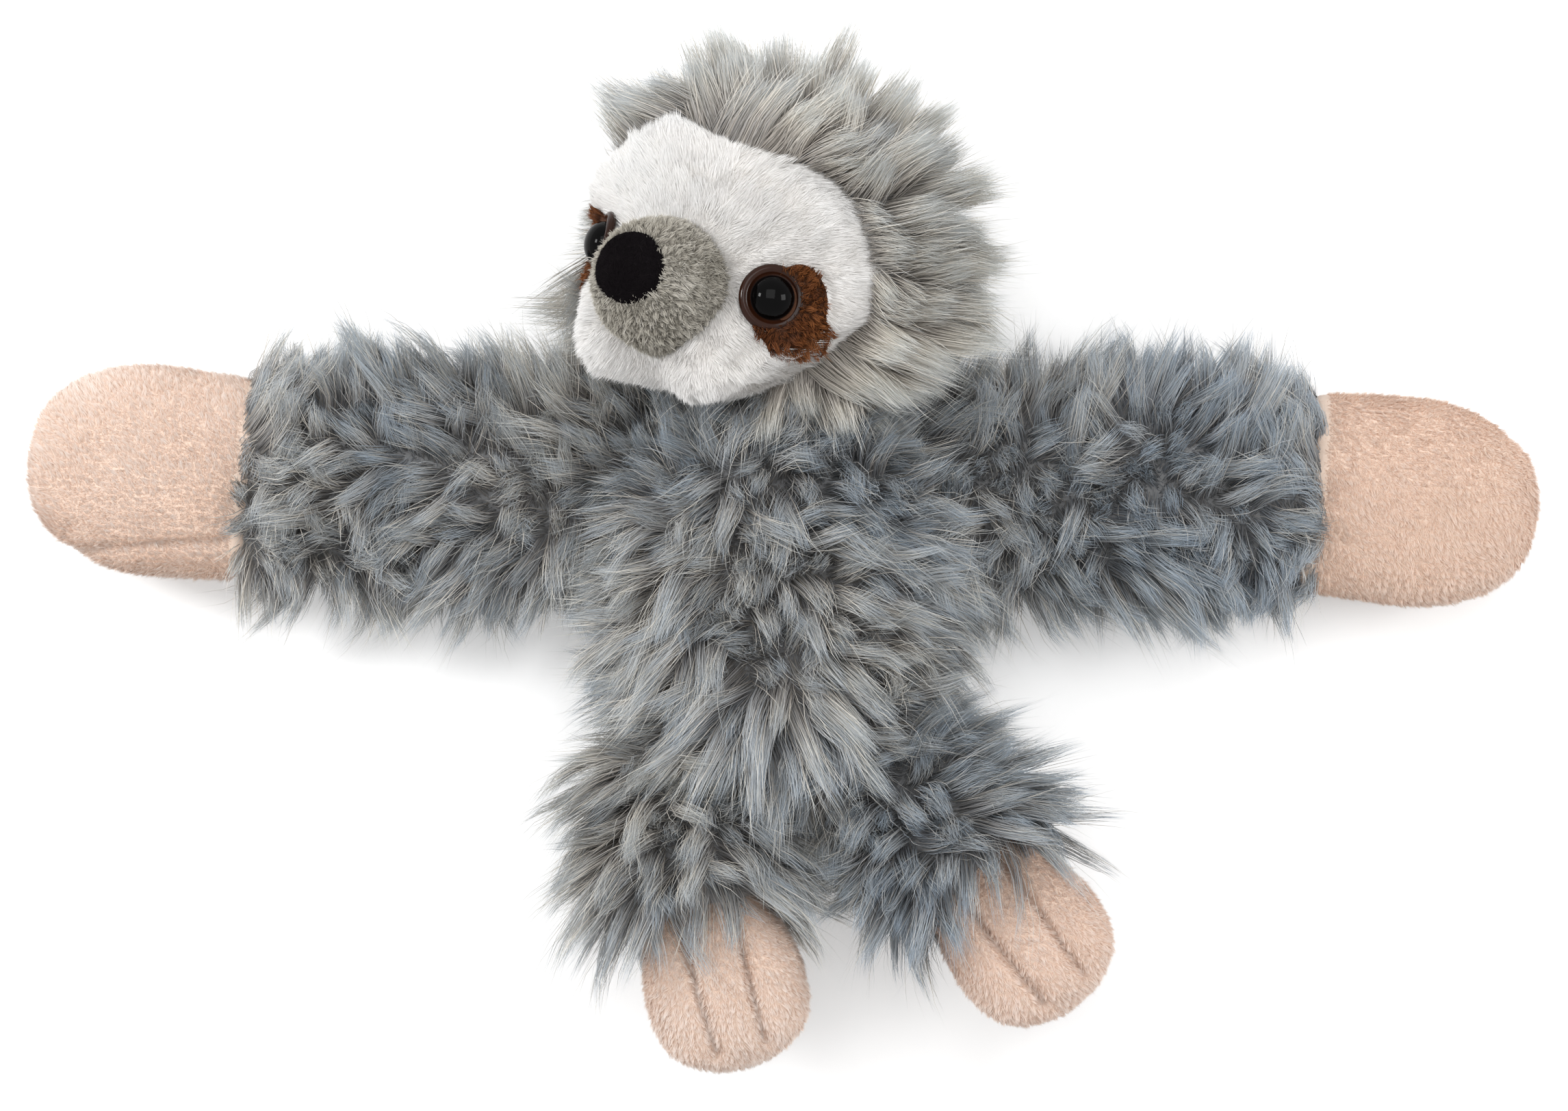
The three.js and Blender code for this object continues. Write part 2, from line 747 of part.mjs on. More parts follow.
function buildLeg(name) {
  const at = legs[name];
  const footPath = swept(inFoot(clearance(footForm), at), at.ankle, at.ankleAxis, -footSwing, footSwing);
  const cover = swell(legForm).subtract(swell(legForm, -furPile));
  const fibre = swell(legForm, -furPile - gap);
  const legPiece = (solid) => onOwnSide(inLeg(solid, at), at).subtract(footPath);
  addPiece(at.leg, `leg_cover_${name}`, legPiece(cover), materials.fur);
  addPiece(at.leg, `leg_fibre_${name}`, legPiece(fibre), materials.fibre);

  const seam = new THREE.BoxGeometry(
    toeSeamWidth,
    2 * toeSeamDepth,
    footLength * (toeSeamEndShare - toeSeamStartShare),
  );
  const seamMiddle = (footLength * (toeSeamStartShare + toeSeamEndShare)) / 2;
  const seams = [-1, 1].map((sign) =>
    solidOf(seam).translate([sign * toeSeamSideShare * footHalfWidth, footHalfDepth, seamMiddle]));
  const skin = swell(footForm).subtract(swell(footForm, -velourThickness, true));
  const [top, sole] = panels(skin, yAxis, new THREE.Vector3());
  const filling = swell(footForm, -velourThickness - gap, true).trimByPlane([0, 0, 1], 0);
  addPiece(at.foot, `foot_top_${name}`, inFoot(top.subtract(wasm.Manifold.union(seams)), at), materials.velour);
  addPiece(at.foot, `foot_sole_${name}`, inFoot(sole, at), materials.velour);
  addPiece(at.foot, `foot_fibre_${name}`, inFoot(filling, at), materials.fibre);
}

// Torso

const torsoForm = {
  length: torsoLength,
  halfWidth: torsoHalfWidth,
  halfDepth: torsoHalfDepth,
  shares: torsoShares,
  sides: bodySides,
  steps: bodySteps,
};
const torsoReach = swell(torsoForm).boundingBox().max[1];
const torsoZ = torsoReach - flatDepth;

// A form on +Z laid along the toy, from the bottom to the neck.
const alongTorso = (solid) => solid.rotate([-90, 0, 0]).translate([0, -torsoBelow, torsoZ]);

function buildTorso() {
  const others = wasm.Manifold.union([
    headSweep(),
    legSweep(legs.left),
    legSweep(legs.right),
    armSweep("left"),
    armSweep("right"),
    neckSocket,
    laid(bandSlot, armPlaces.left),
  ]);
  const outer = alongTorso(swell(torsoForm)).trimByPlane([0, 0, 1], 0);
  const cover = outer.subtract(alongTorso(swell(torsoForm, -furPile))).subtract(others);
  const fibre = alongTorso(swell(torsoForm, -furPile - gap)).subtract(others);
  const [front, back] = panels(cover, zAxis, new THREE.Vector3(0, 0, torsoZ));
  addPiece(sloth, "torso_front", front, materials.fur);
  addPiece(sloth, "torso_back", back, materials.fur);
  addPiece(sloth, "torso_fibre", fibre, materials.fibre);
  const centre = band(gap / 2 - shoulderX, shoulderX - gap / 2);
  addPiece(sloth, "slap_band_centre", laid(centre, armPlaces.left), materials.steel);
  addPiece(sloth, "neck_fibre", ball(neckRadius).translate(neckPivot.toArray()), materials.fibre);
}

buildTorso();
buildHead();
buildMuzzle();
for (const side of ["left", "right"]) {
  buildArm(side);
  buildLeg(side);
}

export default sloth;
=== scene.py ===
# %% [markdown]
# # A plush sloth with hugging arms
# The toy lies on its back with its arms stretched out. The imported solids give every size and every
# joint, and this script dresses them: long shaggy fur, short white plush, peach velour, felt and
# glossy eyes. The solids are loaded first, because each piece made here stands where they say.

# %% Load the frame
import math

import bmesh
import bpy
import numpy as np
from mathutils import Matrix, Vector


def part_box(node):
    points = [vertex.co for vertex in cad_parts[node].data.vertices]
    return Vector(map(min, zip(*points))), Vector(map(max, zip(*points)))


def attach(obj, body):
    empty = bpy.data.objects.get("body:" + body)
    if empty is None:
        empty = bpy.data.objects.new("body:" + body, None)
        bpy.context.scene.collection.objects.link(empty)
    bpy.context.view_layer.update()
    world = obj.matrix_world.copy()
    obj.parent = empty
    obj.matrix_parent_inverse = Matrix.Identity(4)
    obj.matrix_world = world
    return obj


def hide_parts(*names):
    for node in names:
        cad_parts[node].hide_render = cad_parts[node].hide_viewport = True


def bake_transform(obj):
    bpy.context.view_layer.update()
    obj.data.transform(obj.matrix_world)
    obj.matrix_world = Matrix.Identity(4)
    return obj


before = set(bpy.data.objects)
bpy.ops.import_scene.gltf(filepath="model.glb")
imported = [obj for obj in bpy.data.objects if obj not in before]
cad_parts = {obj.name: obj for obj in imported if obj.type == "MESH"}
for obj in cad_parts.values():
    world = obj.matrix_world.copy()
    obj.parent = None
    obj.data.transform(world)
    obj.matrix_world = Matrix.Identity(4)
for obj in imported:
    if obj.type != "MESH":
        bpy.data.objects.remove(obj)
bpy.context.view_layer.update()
scene = bpy.context.scene
MM = 0.001

# %% [markdown]
# ## The camera
# The photo is taken from straight above, from far away and with a long lens, so that the arms
# hardly grow towards the edges. The camera is turned by under a degree, because the toy was.

# %% Camera
CAMERA_PLACE = (0.9 * MM, 9.1 * MM, 850 * MM)
CAMERA_ROLL = math.radians(0.7)
LENS, SENSOR = 99.5, 36

camera_data = bpy.data.cameras.new("camera")
camera_data.lens = LENS
camera_data.sensor_width = SENSOR
camera = bpy.data.objects.new("camera", camera_data)
camera.location = CAMERA_PLACE
camera.rotation_euler = (0, 0, CAMERA_ROLL)
scene.collection.objects.link(camera)
scene.camera = camera
scene.view_settings.view_transform = "Standard"
print("camera at", tuple(round(c, 3) for c in camera.location))

# %% [markdown]
# ## Nodes written as sums
# A material or a Geometry Nodes tree is a graph of small boxes, and a formula in it is hard to read
# as boxes. Here a socket is wrapped in a class whose +, - and * add the Math nodes, so that the
# formula can be written down. One method adds every other kind of node.

# %% Node helpers
def is_wide(value):
    """True for a vector or a colour."""
    if isinstance(value, Wire):
        return value.socket.type in ("VECTOR", "RGBA")
    return isinstance(value, tuple)


class Wire:
    """An output socket whose arithmetic adds Math or Vector Math nodes."""

    def __init__(self, graph, socket):
        self.graph, self.socket = graph, socket

    def sum_with(self, operation, other, reflected=False):
        """A node for this value and another one. Reflected puts the other first."""
        pair = (other, self) if reflected else (self, other)
        kind = "ShaderNodeVectorMath" if any(map(is_wide, pair)) else "ShaderNodeMath"
        return self.graph.add(kind, {"operation": operation}, *pair)

    def __add__(self, other):
        return self.sum_with("ADD", other)

    def __radd__(self, other):
        return self.sum_with("ADD", other, True)

    def __sub__(self, other):
        return self.sum_with("SUBTRACT", other)

    def __rsub__(self, other):
        return self.sum_with("SUBTRACT", other, True)

    def __mul__(self, other):
        return self.sum_with("MULTIPLY", other)

    def __rmul__(self, other):
        return self.sum_with("MULTIPLY", other, True)

    def out(self, name):
        """Another output of the same node."""
        found = [s for s in self.socket.node.outputs if s.enabled and s.name == name]
        return Wire(self.graph, found[0])


class Graph:
    """A node tree that is written from top to bottom."""

    def __init__(self, tree):
        self.tree = tree

    def put(self, socket, value):
        """Link a value to a socket, or set the socket to it."""
        if isinstance(value, Wire):
            self.tree.links.new(value.socket, socket)
        elif socket.type == "VECTOR" and not isinstance(value, tuple):
            socket.default_value = (value, value, value)
        elif socket.type == "RGBA" and len(value) == 3:
            socket.default_value = (*value, 1)
        else:
            socket.default_value = value

    def add(self, kind, settings=None, *values, **named):
        """A node of one kind: its settings first, then the values or links of its sockets."""
        node = self.tree.nodes.new(kind)
        for key, value in (settings or {}).items():
            if key == "stops":
                elements = node.color_ramp.elements
                while len(elements) < len(value):
                    elements.new(1)
                for element, (position, colour) in zip(elements, value):
                    element.position, element.color = position, (*colour, 1)
            else:
                setattr(node, key, value)
        sockets = [s for s in node.inputs if s.enabled]
        for socket, value in zip(sockets, values):
            self.put(socket, value)
        for name, value in named.items():
            wanted = name.replace("_", " ")
            self.put(next(s for s in sockets if s.name == wanted), value)
        shown = [s for s in node.outputs if s.enabled]
        return Wire(self, shown[0]) if shown else None


def colour(code):
    """A colour as it is written on the web, in the linear values that Blender counts in."""
    parts = [int(code[i : i + 2], 16) / 255 for i in (1, 3, 5)]
    return tuple(c / 12.92 if c <= 0.04045 else ((c + 0.055) / 1.055) ** 2.4 for c in parts)


print("node helpers ready; slate grey is", [round(c, 3) for c in colour("#7a8791")])

# %% [markdown]
# ## Materials
# Every finish is a Principled shader. Long fur has one colour per strand, and painted shade makes it
# darker towards its root, so its strands carry a small map: across it runs the strand's tint, and up
# it the way from root to tip. Cloth skins take their colour from noise in the object's own place
# instead.

# %% Material helpers
STRAND_MAP = "OFBake"
PATCHES_COUNT, GRAIN_COUNTS, DARKER = 0.7, 0.6, 0.15


def surface(name, paint, **constants):
    """A Principled material. What varies comes from paint, what is the same all over is set."""
    made = bpy.data.materials.new(name)
    made.use_nodes = True
    made.node_tree.nodes.clear()
    graph = Graph(made.node_tree)
    shader = graph.add("ShaderNodeBsdfPrincipled", None, **constants, **paint(graph))
    graph.add("ShaderNodeOutputMaterial", None, Surface=shader)
    return made


def ramp(codes):
    """Ramp stops from (position, web colour) pairs."""
    return [(position, colour(code)) for position, code in codes]


def strand_paint(tints, root_shade):
    """Colour by the strand's tint, times a painted shade from its root, where it is darkest, to its
    tip.
    """

    def paint(graph):
        place = graph.add("ShaderNodeUVMap", {"uv_map": STRAND_MAP})
        tint = graph.add("ShaderNodeSeparateXYZ", None, place)
        hue = graph.add("ShaderNodeValToRGB", {"stops": ramp(tints)}, tint)
        shade = graph.add("ShaderNodeValToRGB", {"stops": ramp(root_shade)}, tint.out("Y"))
        settings = {"data_type": "RGBA", "blend_type": "MULTIPLY"}
        return {"Base_Color": graph.add("ShaderNodeMix", settings, 1.0, hue, shade)}

    return paint


def cloth_paint(dark, light, patch_size, grain_size, relief):
    """Two tones in soft patches and fine grain, with the grain raised. Sizes are in mm."""

    def paint(graph):
        place = graph.add("ShaderNodeTexCoord").out("Object")

        def noise(size, detail):
            scale = 1 / (size * MM)
            return graph.add("ShaderNodeTexNoise", None, place, Scale=scale, Detail=detail)

        patches, grain = noise(patch_size, 2.0), noise(grain_size, 3.0)
        mixed = patches * PATCHES_COUNT + grain * GRAIN_COUNTS - DARKER
        tone = graph.add("ShaderNodeMix", {"data_type": "RGBA"}, mixed, colour(dark), colour(light))
        bump = graph.add("ShaderNodeBump", None, Strength=0.5, Distance=relief * MM, Height=grain)
        return {"Base_Color": tone, "Normal": bump}

    return paint


print("material helpers ready")

# %% Materials of the fur and the short piles
# Each pile has a ramp of tints and a ramp from root to tip. The second ramp is painted shade,
# darkest at the root where the pile shades itself; the long fur's also turns its tips a little blue.
FUR_TINTS = [(0.0, "#9dabba"), (0.3, "#b6c0c9"), (0.55, "#cacccd"), (0.78, "#dad8d2")]
FUR_TINTS += [(0.93, "#e8e4db"), (1.0, "#f6f2e9")]
FUR_ROOT_SHADE = [(0.0, "#a8a3a0"), (0.3, "#cac6c4"), (0.6, "#f1efec"), (0.85, "#f1f7fd")]
FUR_ROOT_SHADE += [(1.0, "#e6f0fb")]
WHITE_TINTS = [(0.0, "#f9f6f3"), (0.6, "#fdfcfb"), (1.0, "#ffffff")]
WHITE_ROOT_SHADE = [(0.0, "#f4f3f1"), (1.0, "#ffffff")]
GREY_TINTS = [(0.0, "#b1aca0"), (0.5, "#cfcbc0"), (1.0, "#ece9e2")]
GREY_ROOT_SHADE = [(0.0, "#9a9794"), (0.6, "#e9e7e5"), (1.0, "#ffffff")]
BROWN_TINTS = [(0.0, "#5f3417"), (0.5, "#7e4822"), (1.0, "#b0713e")]
BROWN_ROOT_SHADE = [(0.0, "#7d7874"), (0.6, "#dcd8d4"), (1.0, "#ffffff")]
PEACH_TINTS = [(0.0, "#f1e0d0"), (0.5, "#fbeee5"), (1.0, "#fffaf6")]
PEACH_ROOT_SHADE = [(0.0, "#e6d0c0"), (0.5, "#f7ece4"), (1.0, "#ffffff")]
BLACK_TINTS = [(0.0, "#131012"), (0.6, "#1c191b"), (1.0, "#2a2628")]
BLACK_ROOT_SHADE = [(0.0, "#ebe8e5"), (0.6, "#f9f8f7"), (1.0, "#ffffff")]


def pile_finish(name, tints, root_shade, roughness, gloss, **constants):
    """The material of a pile. Gloss is the shader's specular level."""
    constants.update(Roughness=roughness, Specular_IOR_Level=gloss)
    return surface(name, strand_paint(tints, root_shade), **constants)


fur = pile_finish("long_fur", FUR_TINTS, FUR_ROOT_SHADE, 0.45, 0.42)
white_pile = pile_finish("white_plush_pile", WHITE_TINTS, WHITE_ROOT_SHADE, 0.8, 0.25)
muzzle_pile = pile_finish("grey_plush_pile", GREY_TINTS, GREY_ROOT_SHADE, 0.75, 0.25)
brown_pile = pile_finish("brown_plush_pile", BROWN_TINTS, BROWN_ROOT_SHADE, 0.7, 0.3)
peach_pile = pile_finish("peach_velour_pile", PEACH_TINTS, PEACH_ROOT_SHADE, 0.7, 0.3, Sheen_Weight=0.15)
felt_pile = pile_finish("black_felt_pile", BLACK_TINTS, BLACK_ROOT_SHADE, 1.0, 0.02)
print("pile materials:", fur.name, white_pile.name, peach_pile.name)

# %% Materials of the skins and the hard parts
def cloth_finish(name, tones, sizes, roughness, **constants):
    """The material of a skin or a hard part. Sizes are of patches, grain and relief, in mm."""
    return surface(name, cloth_paint(*tones, *sizes), Roughness=roughness, **constants)


white_cloth = cloth_finish("white_plush_cloth", ("#f6f4f1", "#fefdfc"), (9, 0.6, 0.2), 0.9)
muzzle_cloth = cloth_finish("grey_plush_cloth", ("#8b877d", "#b3afa5"), (5, 0.7, 0.4), 0.9)
brown_cloth = cloth_finish("brown_plush_cloth", ("#3a1e0d", "#5c3519"), (3, 0.7, 0.4), 0.85)
PEACH, FELT = ("#e9cfbb", "#f3dfd0"), ("#0c0a0b", "#141113")
peach_cloth = cloth_finish("peach_velour_cloth", PEACH, (8, 0.7, 0.2), 0.85, Sheen_Weight=0.2)
black_felt = cloth_finish("black_felt", FELT, (1.5, 0.35, 0.3), 1.0, Specular_IOR_Level=0.02)
BROWN, BLACK = ("#22110a", "#33190d"), ("#020202", "#060506")
eye_brown = cloth_finish("eye_base_plastic", BROWN, (3, 0.9, 0.02), 0.15, Specular_IOR_Level=0.2)
eye_black = cloth_finish("eye_lens_plastic", BLACK, (4, 1.5, 0.01), 0.05, Specular_IOR_Level=0.08)
washer_plastic = cloth_finish("washer_plastic", ("#d9d6ce", "#efede7"), (2, 0.5, 0.05), 0.45)
STEEL = ("#8f9397", "#b9bcc0")
band_steel = cloth_finish("slap_band_steel", STEEL, (6, 0.4, 0.02), 0.32, Metallic=1.0)
print("skin materials:", white_cloth.name, peach_cloth.name, black_felt.name)

# %% [markdown]
# ## Shapes as rings
# A stuffed cover is round in section and swells and tapers along its length. So it is drawn as
# rings: a smooth curve through a few [along, across] shares gives each ring's size, and a
# squareness above 2 fills its corners. Quads join the rings, and points that meet are merged.

# %% Shape helpers
def through(shares, count):
    """Points on the smooth curve through [along, across] pairs."""
    knots = np.array(shares, float)
    place = np.linspace(0, len(knots) - 1, count)
    i = np.minimum(place.astype(int), len(knots) - 2)
    t = (place - i)[:, None]
    here, after = knots[i], knots[i + 1]
    start = (after - knots[np.maximum(i - 1, 0)]) / 2
    end = (knots[np.minimum(i + 2, len(knots) - 1)] - here) / 2
    cubic = 2 * here - 2 * after + start + end
    square = 3 * after - 3 * here - 2 * start - end
    return ((cubic * t + square) * t + start) * t + here


def rounded(angle, half_width, half_depth, squareness=2.0):
    """Points of a rounded outline: squareness 2 is an ellipse, and more is squarer."""
    c, s = np.cos(angle), np.sin(angle)
    power = 2 / squareness
    return (
        np.sign(c) * np.abs(c) ** power * half_width,
        np.sign(s) * np.abs(s) ** power * half_depth,
    )


def swell(form, out=0.0, rows=48, sides=64, ends=None):
    """Rings of a stuffed form along +Z, with its surface moved out by a distance."""
    length, half_width, half_depth, squareness, shares = form
    start, end = ends or (-out, length + out)
    along, across = through(shares, rows).T
    across = np.maximum(across, 0)[:, None]
    angle = np.arange(sides) * 2 * math.pi / sides
    x, y = rounded(angle, half_width + out, half_depth + out, squareness)
    z = np.broadcast_to((start + along * (end - start))[:, None], (rows, sides))
    return np.stack([across * x, across * y, z], -1)


def capped(rings, first=True, last=True):
    """The same rings, with a flat end closed by a ring of no size at its middle."""
    parts = [rings]
    if first:
        parts.insert(0, np.broadcast_to(rings[:1].mean(1, keepdims=True), rings[:1].shape))
    if last:
        parts.append(np.broadcast_to(rings[-1:].mean(1, keepdims=True), rings[:1].shape))
    return np.concatenate(parts)


def laid(points, place):
    """Points in mm moved to a place, a 4x4 matrix."""
    return points @ place[:3, :3].T + place[:3, 3]


def seen_from(points, place):
    """The same points in the place's own frame, which takes back what laid did."""
    return (points - place[:3, 3]) @ place[:3, :3]


def place_at(point, direction, up=(0, 0, 1), parent=np.eye(4)):
    """A place whose own +Z looks along a direction."""
    z = np.array(direction, float) / np.linalg.norm(direction)
    x = np.cross(up, z)
    x /= np.linalg.norm(x)
    place = np.eye(4)
    place[:3, :3] = np.stack([x, np.cross(z, x), z], 1)
    place[:3, 3] = point
    return parent @ place


def add_piece(name, mesh):
    """A mesh as a piece of the scene."""
    piece = bpy.data.objects.new(name, mesh)
    scene.collection.objects.link(piece)
    return piece


def piece_of(name, points, faces):
    """A smooth piece from points in mm and faces, with points that meet merged."""
    mesh = bpy.data.meshes.new(name)
    mesh.from_pydata((np.asarray(points) * MM).tolist(), [], faces)
    grid = bmesh.new()
    grid.from_mesh(mesh)
    bmesh.ops.remove_doubles(grid, verts=grid.verts, dist=0.01 * MM)
    bmesh.ops.dissolve_degenerate(grid, edges=grid.edges, dist=0.001 * MM)
    grid.to_mesh(mesh)
    grid.free()
    mesh.shade_smooth()
    return add_piece(name, mesh)


def piece_of_rings(name, rings, keep=None):
    """A piece of quads between closed rings. keep picks quads by their middle, in mm."""
    rows, sides = rings.shape[:2]
    index = np.arange(rows * sides).reshape(rows, sides)
    turned = np.roll(index, -1, 1)
    quads = np.stack([index[:-1], turned[:-1], turned[1:], index[1:]], -1).reshape(-1, 4)
    points = rings.reshape(-1, 3)
    if keep is not None:
        quads = quads[keep(points[quads].mean(1))]
    return piece_of(name, points, quads.tolist())


def points_of(piece):
    """A piece's points in mm, and the directions out of it at them."""
    mesh = piece.data
    places = np.zeros(len(mesh.vertices) * 3, np.float32)
    outwards = np.zeros_like(places)
    mesh.vertices.foreach_get("co", places)
    mesh.vertex_normals.foreach_get("vector", outwards)
    return places.reshape(-1, 3).astype(float) / MM, outwards.reshape(-1, 3).astype(float)


def move_points(piece, points):
    """Put a piece's points in new places, in mm."""
    piece.data.vertices.foreach_set("co", (points * MM).astype(np.float32).ravel())
    piece.data.update()


def smooth_step(value, low, high):
    """0 up to low, 1 from high on, and a smooth climb between them."""
    t = np.clip((value - low) / (high - low), 0, 1)
    return t * t * (3 - 2 * t)


print("a curve through three shares:", through([[0, 0.9], [0.5, 1], [1, 0.8]], 3).tolist())

# %% [markdown]
# ## The pile tree
# Real fur fabric is a cloth with thousands of fibres that stick together in locks. Hair could be
# combed by hand, but a rule is quicker and can be told: Geometry Nodes scatters the tips of the
# locks, then scatters the roots of the strands, and each strand bends to the nearest lock. A strand
# is a thin ribbon that tapers to a point. The skin's own attributes say how high the pile stands,
# how far it lies over, which way it is combed and how thick it is.

# %% Pile tree
PILE_NUMBERS = ["Density", "Lock Spacing", "Clump", "Frizz", "Width", "Swirl", "Swirl Size"]
PILE_NUMBERS += ["Mess", "Bow", "Curl", "Stray", "Shortest", "Roll", "Tint", "Tint Spread"]
PILE_SIZES = [("Skin", "NodeSocketGeometry")]
PILE_SIZES += [(label, "NodeSocketFloat") for label in PILE_NUMBERS]
PILE_SIZES += [("Seed", "NodeSocketInt"), ("Material", "NodeSocketMaterial")]
LOOSE_LENGTH, TIGHT_LONGER = 0.68, 0.5
LEAST_RISE, MOST_RISE = 0.8, 1.25
LEAST_HOLD, MORE_HOLD = 0.6, 0.6
LOCK_BLUR, BEND_FRIZZ = 0.25, 1.3
THINNEST, WIDEST = 0.35, 0.65
WIDE_PATCHES, PATCH_TINT, SWIRL_TINT, TIGHT_TINT = 0.35, 1.5, 0.6, 0.3
MIDDLE_TINT = 1.2
STRAY_LOOSER, STRAY_FRIZZ, STRAY_LONGER, STRAY_PALER = 0.9, 2.5, 0.25, 0.35
LONGEST, TINT_SPECKLE = 1.1, 0.12
# The bare skin under the long fur takes a strand's root colour, painted shade included.
SKIN_AT_SHADED_ROOT = (0.4, 0.02, 0.0)
GROUND = 0.2 * MM
VECTOR = {"data_type": "FLOAT_VECTOR"}
FLOAT = {"data_type": "FLOAT"}


def pile_tree(name, segments, keep_skin):
    """The tree for strands of a number of segments, with or without the skin under them."""
    tree = bpy.data.node_groups.new(name, "GeometryNodeTree")
    for label, kind in PILE_SIZES:
        tree.interface.new_socket(name=label, in_out="INPUT", socket_type=kind)
    tree.interface.new_socket(name="Pile", in_out="OUTPUT", socket_type="NodeSocketGeometry")
    graph = Graph(tree)
    given = graph.add("NodeGroupInput")
    size = given.out
    seed = size("Seed")

    def named(label, settings=FLOAT):
        return graph.add("GeometryNodeInputNamedAttribute", settings, label)

    def random(low, high, salt, settings=FLOAT):
        return graph.add("FunctionNodeRandomValue", settings, low, high, Seed=seed + salt)

    def any_way(salt):
        return random((-1.0, -1.0, -1.0), (1.0, 1.0, 1.0), salt, VECTOR)

    def vector(operation, *values):
        return graph.add("ShaderNodeVectorMath", {"operation": operation}, *values)

    def number(operation, *values):
        return graph.add("ShaderNodeMath", {"operation": operation}, *values)

    def kept(geometry, label, value, settings, domain="POINT"):
        settings = {**settings, "domain": domain}
        kind = "GeometryNodeStoreNamedAttribute"
        return graph.add(kind, settings, geometry, Name=label, Value=value)

    def noise(place, scale):
        return graph.add("ShaderNodeTexNoise", None, place, Scale=scale, Detail=1.0)

    position = graph.add("GeometryNodeInputPosition")

    # The locks: where each one starts, and the way from there to its tip
    spacing = size("Lock Spacing")
    locks = graph.add(
        "GeometryNodeDistributePointsOnFaces",
        {"distribute_method": "POISSON"},
        size("Skin"),
        Distance_Min=spacing,
        Density_Max=3.0 * number("POWER", spacing, -2.0),
        Seed=seed,
    )
    outwards = locks.out("Normal")
    swirl_scale = number("DIVIDE", 1.0, size("Swirl Size"))
    swirl = noise(position, swirl_scale).out("Color") - 0.5
    flow = named("comb", VECTOR) * named("lay") + swirl * size("Swirl") + any_way(1) * size("Mess")
    flow = flow - outwards * vector("DOT_PRODUCT", flow, outwards)
    tightness = random(0.0, 1.0, 2)
    length = tightness * TIGHT_LONGER + LOOSE_LENGTH
    lock_way = (outwards * (named("rise") * random(LEAST_RISE, MOST_RISE, 3)) + flow) * length
    curl = any_way(4) * size("Curl")
    patches = noise(position + 2.0, swirl_scale * WIDE_PATCHES) * PATCH_TINT
    lock_tint = noise(position + 1.0, swirl_scale) * SWIRL_TINT + patches
    lock_tint = lock_tint + tightness * TIGHT_TINT - MIDDLE_TINT

    # The roots of the strands
    roots = graph.add(
        "GeometryNodeDistributePointsOnFaces",
        {"distribute_method": "RANDOM"},
        size("Skin"),
        Density=size("Density") * named("thick"),
        Seed=seed + 5,
    )
    up = roots.out("Normal")
    near = graph.add(
        "GeometryNodeSampleNearest", None, locks, position + any_way(6) * (spacing * LOCK_BLUR)
    )

    def of_lock(value, settings=VECTOR):
        return graph.add("GeometryNodeSampleIndex", settings, locks, value, near)

    lock_place, way = of_lock(position), of_lock(lock_way)
    stray = number("LESS_THAN", random(0.0, 1.0, 7), size("Stray"))
    held = of_lock(tightness, FLOAT) * MORE_HOLD + LEAST_HOLD
    hold = size("Clump") * (1.0 - stray * STRAY_LOOSER) * held
    frizz = any_way(9) * (size("Frizz") * (1.0 + stray * STRAY_FRIZZ))
    reach = way * (random(size("Shortest"), LONGEST, 10) + stray * STRAY_LONGER)
    tip = lock_place + reach + (position - lock_place) * (1.0 - hold) + frizz
    bend = up * (vector("LENGTH", way) * size("Bow"))
    bend = bend + any_way(11) * (size("Frizz") * BEND_FRIZZ)
    middle = (position + tip) * 0.5 + bend + of_lock(curl)
    across = vector("CROSS_PRODUCT", tip - position, up + any_way(12) * size("Roll"))
    side = vector("NORMALIZE", across) * (size("Width") * random(THINNEST, WIDEST, 13))
    tint = of_lock(lock_tint, FLOAT) * size("Tint Spread") + size("Tint")
    tint = tint + random(-TINT_SPECKLE, TINT_SPECKLE, 15) + stray * STRAY_PALER
    tint = graph.add("ShaderNodeClamp", None, tint, 0.01, 0.99)
    for label, value, settings in (
        ("root", position, VECTOR),
        ("middle", middle, VECTOR),
        ("tip", tip, VECTOR),
        ("side", side, VECTOR),
        ("tint", tint, FLOAT),
    ):
        roots = kept(roots, label, value, settings)

    # One flat ribbon, pointed at its end, on every root
    ribbon = graph.add("GeometryNodeMeshGrid", None, 1.0, 1.0, 2, segments + 1)
    corner = graph.add("ShaderNodeSeparateXYZ", None, position)
    ribbon = kept(ribbon, "along", corner.out("Y") + 0.5, FLOAT)
    ribbon = kept(ribbon, "across", corner * 2.0, FLOAT)
    below_tip = number("LESS_THAN", corner.out("Y"), 0.49)
    narrowed = graph.add("ShaderNodeCombineXYZ", None, corner * below_tip, corner.out("Y"), 0.0)
    ribbon = graph.add("GeometryNodeSetPosition", None, ribbon, Position=narrowed)
    ribbon = graph.add("GeometryNodeMergeByDistance", None, ribbon)
    strands = graph.add("GeometryNodeInstanceOnPoints", None, roots, Instance=ribbon)
    strands = graph.add("GeometryNodeRealizeInstances", None, strands)

